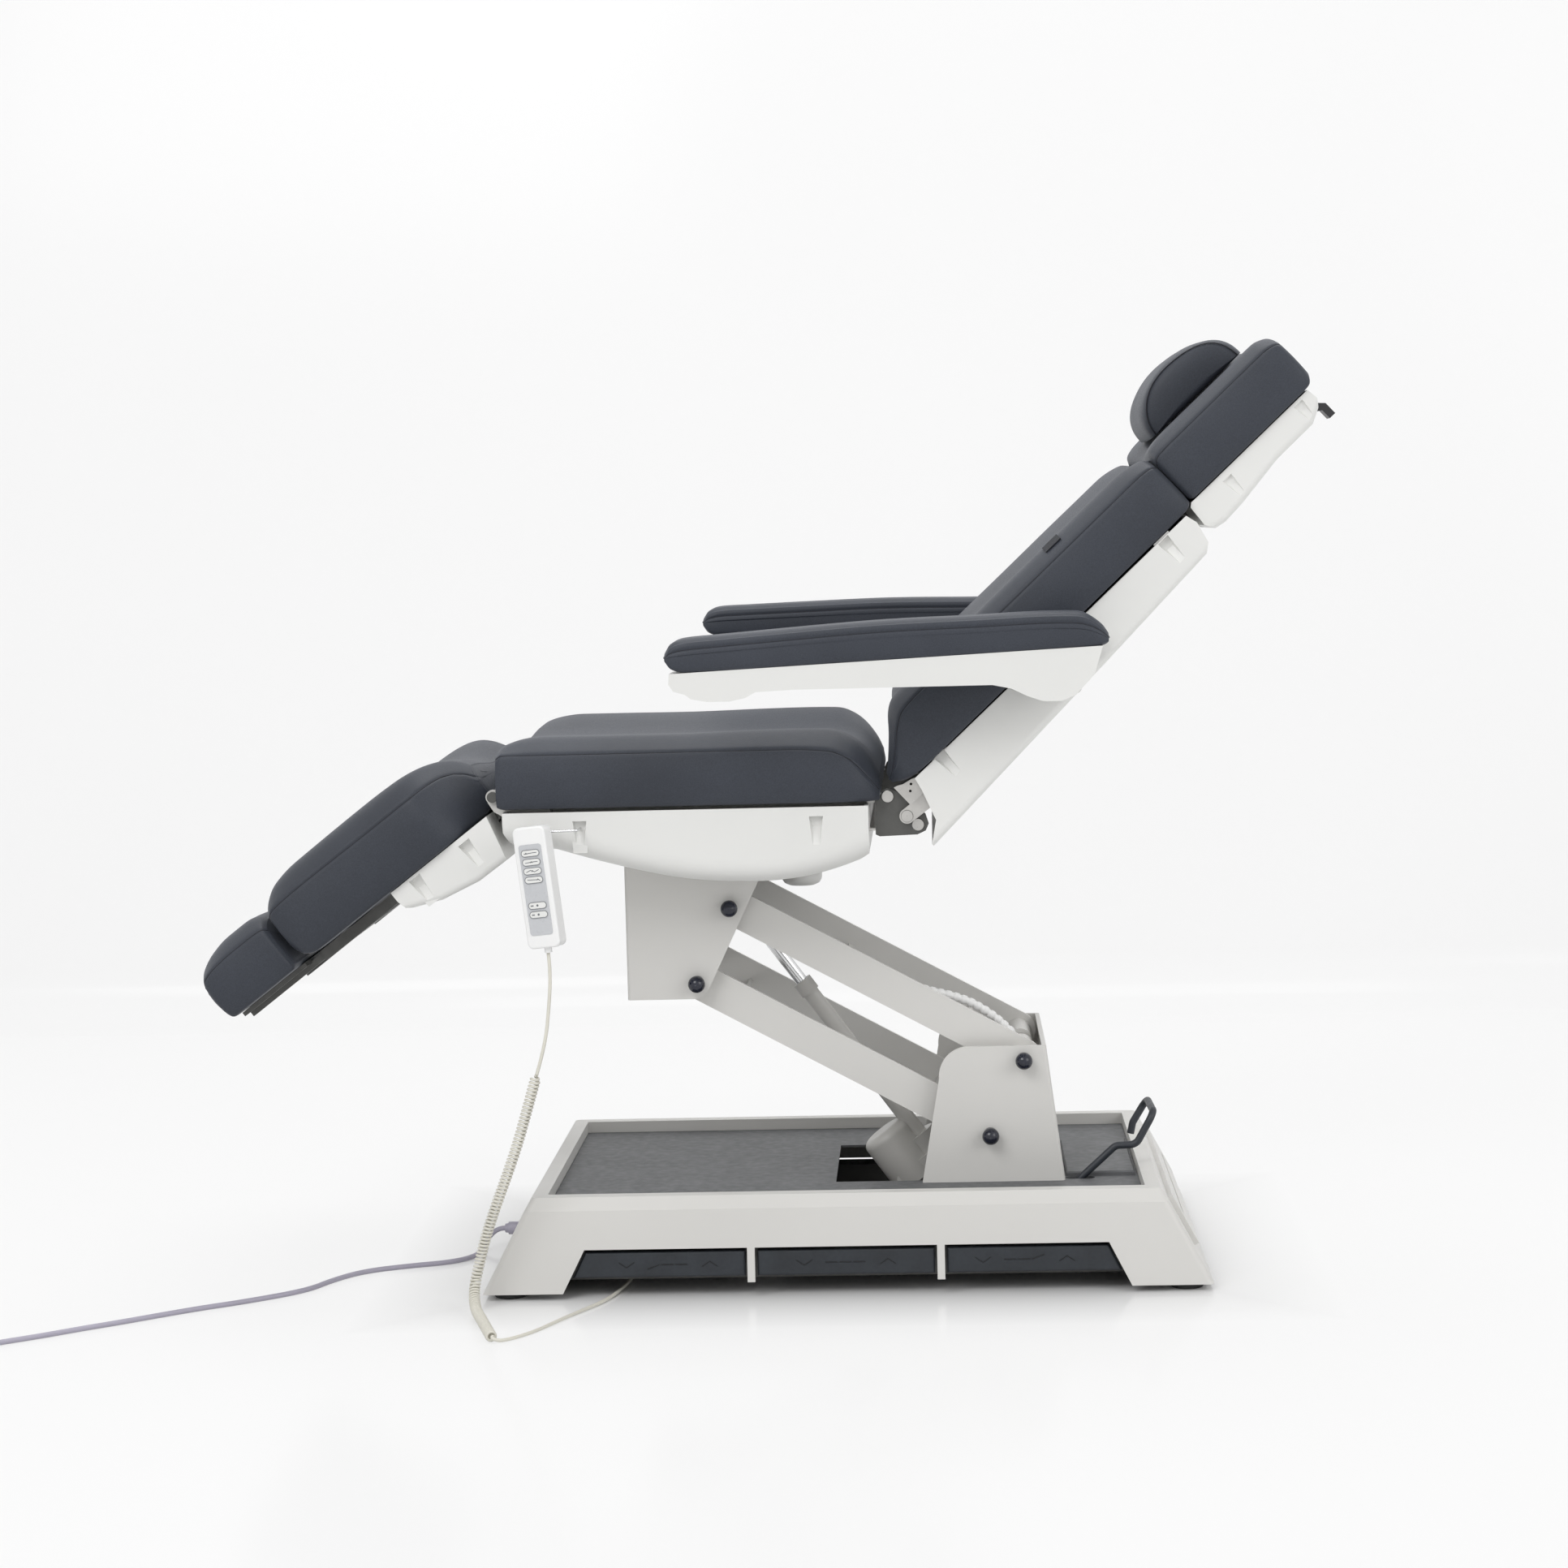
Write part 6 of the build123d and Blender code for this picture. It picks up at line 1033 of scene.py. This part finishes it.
def pedal_marks(use, centre):
    """A pedal's two chevrons, and its chair icon with the section that it moves bent away."""
    lines = []
    for turn in (-1, 1):
        low, high = -turn * CHEVRON_RISE / 2, turn * CHEVRON_RISE / 2
        middle = centre + turn * CHEVRON_OUT
        lines.append(stroke(
            ((middle - CHEVRON_REACH, low), (middle, high), (middle + CHEVRON_REACH, low)),
            ICON_WIDTH))
    for section in range(3):
        start = centre + (section - 1.5) * ICON_THIRD + ICON_START
        end = centre + (section - 0.5) * ICON_THIRD - ICON_WIDTH - ICON_END
        drop = -ICON_BEND if (use, section) == ("leg", 0) else 0
        lift = ICON_BEND if (use, section) == ("back", 2) else 0
        lines.append(stroke(((start, drop), (end, lift)), ICON_WIDTH))
    return lines


def on_left_pedal(u, v, out):
    """Place in the engraving of the near pedals: along the chair, up, and out."""
    return mm(u, -(PEDAL_FACE - ENGRAVING_DEPTH + out * 1000), PEDAL_AXIS + v)


def on_right_pedal(u, v, out):
    """Place in the engraving of the far pedals: along the chair, up, and out."""
    return mm(u, PEDAL_FACE - ENGRAVING_DEPTH + out * 1000, PEDAL_AXIS + v)


# Dark inlays at the bottom of each pedal's engraving: painted shade in its recesses
for side_name, on_pedal in (("left", on_left_pedal), ("right", on_right_pedal)):
    for use, centre in PEDAL_USES.items():
        inlay(f"marks_{use}_{side_name}", pedal_marks(use, centre), on_pedal, engraving_painted_shade,
              f"pedal_{use}_{side_name}", "pedal_rubber", MARK_THICKNESS)

# The handset leans along the chair and is turned about its own height
HANDSET_LEAN, HANDSET_TURN, HANDSET_LENGTH = radians(6.8), radians(18), 158.0
KEY_TOP, PRINT_RISE = 13.62, 0.00013
handset_across = Vector((
    cos(HANDSET_TURN) * cos(HANDSET_LEAN), -sin(HANDSET_TURN) * cos(HANDSET_LEAN),
    sin(HANDSET_LEAN)))
handset_out = Vector((-sin(HANDSET_TURN), -cos(HANDSET_TURN), 0))
handset_up = handset_out.cross(handset_across)
handset_middle = mm(-383.0, -330.0, 552.0)


def on_key(u, v, out):
    """Place on the keys' tops: across, up and out of the handset."""
    return (handset_middle + (handset_across * u + handset_up * v
            + handset_out * KEY_TOP) / 1000 + handset_out * out)


def over_key(u, v, out):
    """Place on the print over the keys' tops."""
    return on_key(u, v, out + PRINT_RISE)


def slot_outline(middle, length, height, steps=8):
    """Round-ended outline about a height on the keypad."""
    radius, half = height / 2, (length - height) / 2
    turns = [pi * step / steps - pi / 2 for step in range(steps + 1)]
    right = [(half + radius * cos(turn), middle + radius * sin(turn)) for turn in turns]
    return right + [(-u, 2 * middle - v) for u, v in right]


KEY_PLACES = [
    share * HANDSET_LENGTH for share in (0.286, 0.212, 0.139, 0.066, -0.145, -0.22)]
KEY_LENGTH, KEY_HEIGHT = 26.5, 9.6
FACE_INSET, RIM_INSET, RIM_WIDTH, PRINT_WIDTH = 1.0, 0.4, 0.8, 0.9
# The chair keys' prints: four points of the chair's line, and the arrow's place along it
CHAIR_PRINTS = (
    (((-9, -0.6), (-3, -0.2), (3, 0.2), (9, 0.2)), -6),
    (((-9, -0.6), (-3, -0.2), (3, 0.2), (9, 0.2)), 0),
    (((-9, -1.2), (-3, 1.2), (3, -1.2), (9, 1.2)), 0),
    (((-9, 0.6), (4, -0.2), (6, 0.2), (9, -1.4)), 6),
)
ARROW_REACH, ARROW_RISE = 1.4, 1.0
# The memory keys' prints: a dash and a dot
DASH_START, DASH_END, DASH_WIDTH, DOT_RADIUS, DOT_STEPS = -9.5, -5.5, 1.5, 1.5, 12

inlay(
    "key_faces",
    [slot_outline(place, KEY_LENGTH - FACE_INSET, KEY_HEIGHT - FACE_INSET)
     for place in KEY_PLACES],
    on_key, key_face, "seat", "keypad_film")

rims = []
for place in KEY_PLACES:
    outer = slot_outline(place, KEY_LENGTH - RIM_INSET, KEY_HEIGHT - RIM_INSET)
    inner = slot_outline(place, KEY_LENGTH - RIM_INSET - 2 * RIM_WIDTH,
                         KEY_HEIGHT - RIM_INSET - 2 * RIM_WIDTH)
    for step in range(len(outer)):
        turn = (step + 1) % len(outer)
        rims.append([outer[step], outer[turn], inner[turn], inner[step]])
inlay("key_rims", rims, over_key, key_print, "seat", "keypad_film")

prints = []
for place, (chair, arrow) in zip(KEY_PLACES, CHAIR_PRINTS):
    prints.append(stroke([(u, place + v) for u, v in chair], PRINT_WIDTH))
    prints.append(stroke(
        ((arrow - ARROW_REACH, place - ARROW_RISE), (arrow, place + ARROW_RISE),
         (arrow + ARROW_REACH, place - ARROW_RISE)), PRINT_WIDTH))
for place in KEY_PLACES[len(CHAIR_PRINTS):]:
    prints.append(stroke(((DASH_START, place), (DASH_END, place)), DASH_WIDTH))
    turns = [2 * pi * step / DOT_STEPS for step in range(DOT_STEPS)]
    prints.append([(DOT_RADIUS * cos(turn), place + DOT_RADIUS * sin(turn)) for turn in turns])
inlay("key_prints", prints, over_key, key_print, "seat", "keypad_film")


# Stage and light

# Middle and half sizes of the base's footprint, in metres
BASE_MIDDLE, BASE_HALF_X, BASE_HALF_Y = BASE_SHIFT / 1000, 0.48, 0.3
# The floor's own glow, which fades in from just inside the base's outline to some way outside;
# where it is left out, under the base, the floor is painted shade
GLOW_SHARE, PAINTED_SHADE_FULL, PAINTED_SHADE_GONE = 0.74, -0.02, 0.16
# The wall's place, the radius where the floor runs up into it, and how far both reach
WALL_PLACE, COVE, REACH = 2.1, 0.12, 9.0
WORLD_LEVEL = 0.58


def seen_share(tree):
    """1 for what the camera sees directly, in a reflection or through glass, and else 0."""
    rays = tree.nodes.new("ShaderNodeLightPath").outputs
    seen = arithmetic(tree, "MAXIMUM", rays["Is Camera Ray"], rays["Is Glossy Ray"])
    return arithmetic(tree, "MAXIMUM", seen, rays["Is Transmission Ray"])


def mixed(tree, share, first, second):
    """Two shaders' outputs mixed by a share."""
    mix = tree.nodes.new("ShaderNodeMixShader")
    for place, value in enumerate((share, first, second)):
        tree.links.new(value, mix.inputs[place])
    return mix.outputs[0]


def backdrop_material():
    """Pale floor and wall that read as near white and keep the chair's shadow, with painted shade
    on the floor under the base.
    """
    material, tree, shader = shade("studio_white", (0.83, 0.83, 0.83), roughness=0.17)
    vector = place_nodes(tree)
    soft = noise(tree, vector, 1.3, detail=2)
    tree.links.new(
        between(tree, ranged(tree, soft, 0, 1), (0.82, 0.82, 0.82), (0.84, 0.84, 0.84)),
        shader.inputs["Base Color"],
    )
    parts = tree.nodes.new("ShaderNodeSeparateXYZ")
    tree.links.new(vector, parts.inputs[0])
    from_middle = arithmetic(tree, "SUBTRACT", parts.outputs[0], BASE_MIDDLE)
    outside_x = arithmetic(
        tree, "SUBTRACT", arithmetic(tree, "ABSOLUTE", from_middle), BASE_HALF_X)
    outside_y = arithmetic(
        tree, "SUBTRACT", arithmetic(tree, "ABSOLUTE", parts.outputs[1]), BASE_HALF_Y)
    outside = arithmetic(tree, "MAXIMUM", outside_x, outside_y)
    # The glow is left out over the base's footprint, which paints shade on the floor under the
    # base
    share = ranged(tree, outside, 0.0, GLOW_SHARE, PAINTED_SHADE_FULL, PAINTED_SHADE_GONE)
    glow = tree.nodes.new("ShaderNodeEmission")
    glow.inputs["Color"].default_value = (0.975, 0.975, 0.975, 1)
    lit = mixed(tree, arithmetic(tree, "MULTIPLY", seen_share(tree), share),
                shader.outputs[0], glow.outputs[0])
    # The wall is clear from behind, so that it doesn't hide the chair's back
    clear = tree.nodes.new("ShaderNodeBsdfTransparent")
    facing = tree.nodes.new("ShaderNodeNewGeometry").outputs["Backfacing"]
    tree.links.new(mixed(tree, facing, lit, clear.outputs[0]),
                   tree.nodes["Material Output"].inputs["Surface"])
    return material


# The floor runs up into a wall through a small cove
profile = [(-REACH, 0.0)] + [
    (WALL_PLACE - COVE + COVE * sin(radians(turn)), COVE - COVE * cos(radians(turn)))
    for turn in range(0, 91, 10)
] + [(WALL_PLACE, REACH)]
floor = new_mesh(
    "floor", [(x, y, z) for y, z in profile for x in (-REACH, REACH)],
    [(2 * row, 2 * row + 1, 2 * row + 3, 2 * row + 2) for row in range(len(profile) - 1)],
    None, None, backdrop_material())

world = bpy.data.worlds.new("studio")
bpy.context.scene.world = world
world.use_nodes = True
sky = world.node_tree
background = sky.nodes["Background"]
background.inputs["Color"].default_value = (1, 1, 1, 1)
sky.links.new(ranged(sky, seen_share(sky), WORLD_LEVEL, 1.0, start=0, end=1),
              background.inputs["Strength"])


def softbox(name, place, target, width, height, power):
    """A large soft lamp that looks at a place."""
    data = bpy.data.lights.new(name, "AREA")
    data.shape = "RECTANGLE"
    data.size, data.size_y = width, height
    data.energy = power
    lamp = bpy.data.objects.new(name, data)
    bpy.context.scene.collection.objects.link(lamp)
    lamp.location = place
    lamp.rotation_euler = (Vector(target) - Vector(place)).to_track_quat("-Z", "Y").to_euler()


softbox("key", (-1.8, -3.2, 3.4), (0, 0, 0.6), width=2.6, height=2.0, power=72)
softbox("fill", (3.0, -2.4, 2.0), (0.2, 0, 0.6), width=2.2, height=2.2, power=30)
softbox("over", (0.2, 0.8, 3.6), (0.2, 0, 0.6), width=3.0, height=2.0, power=44)
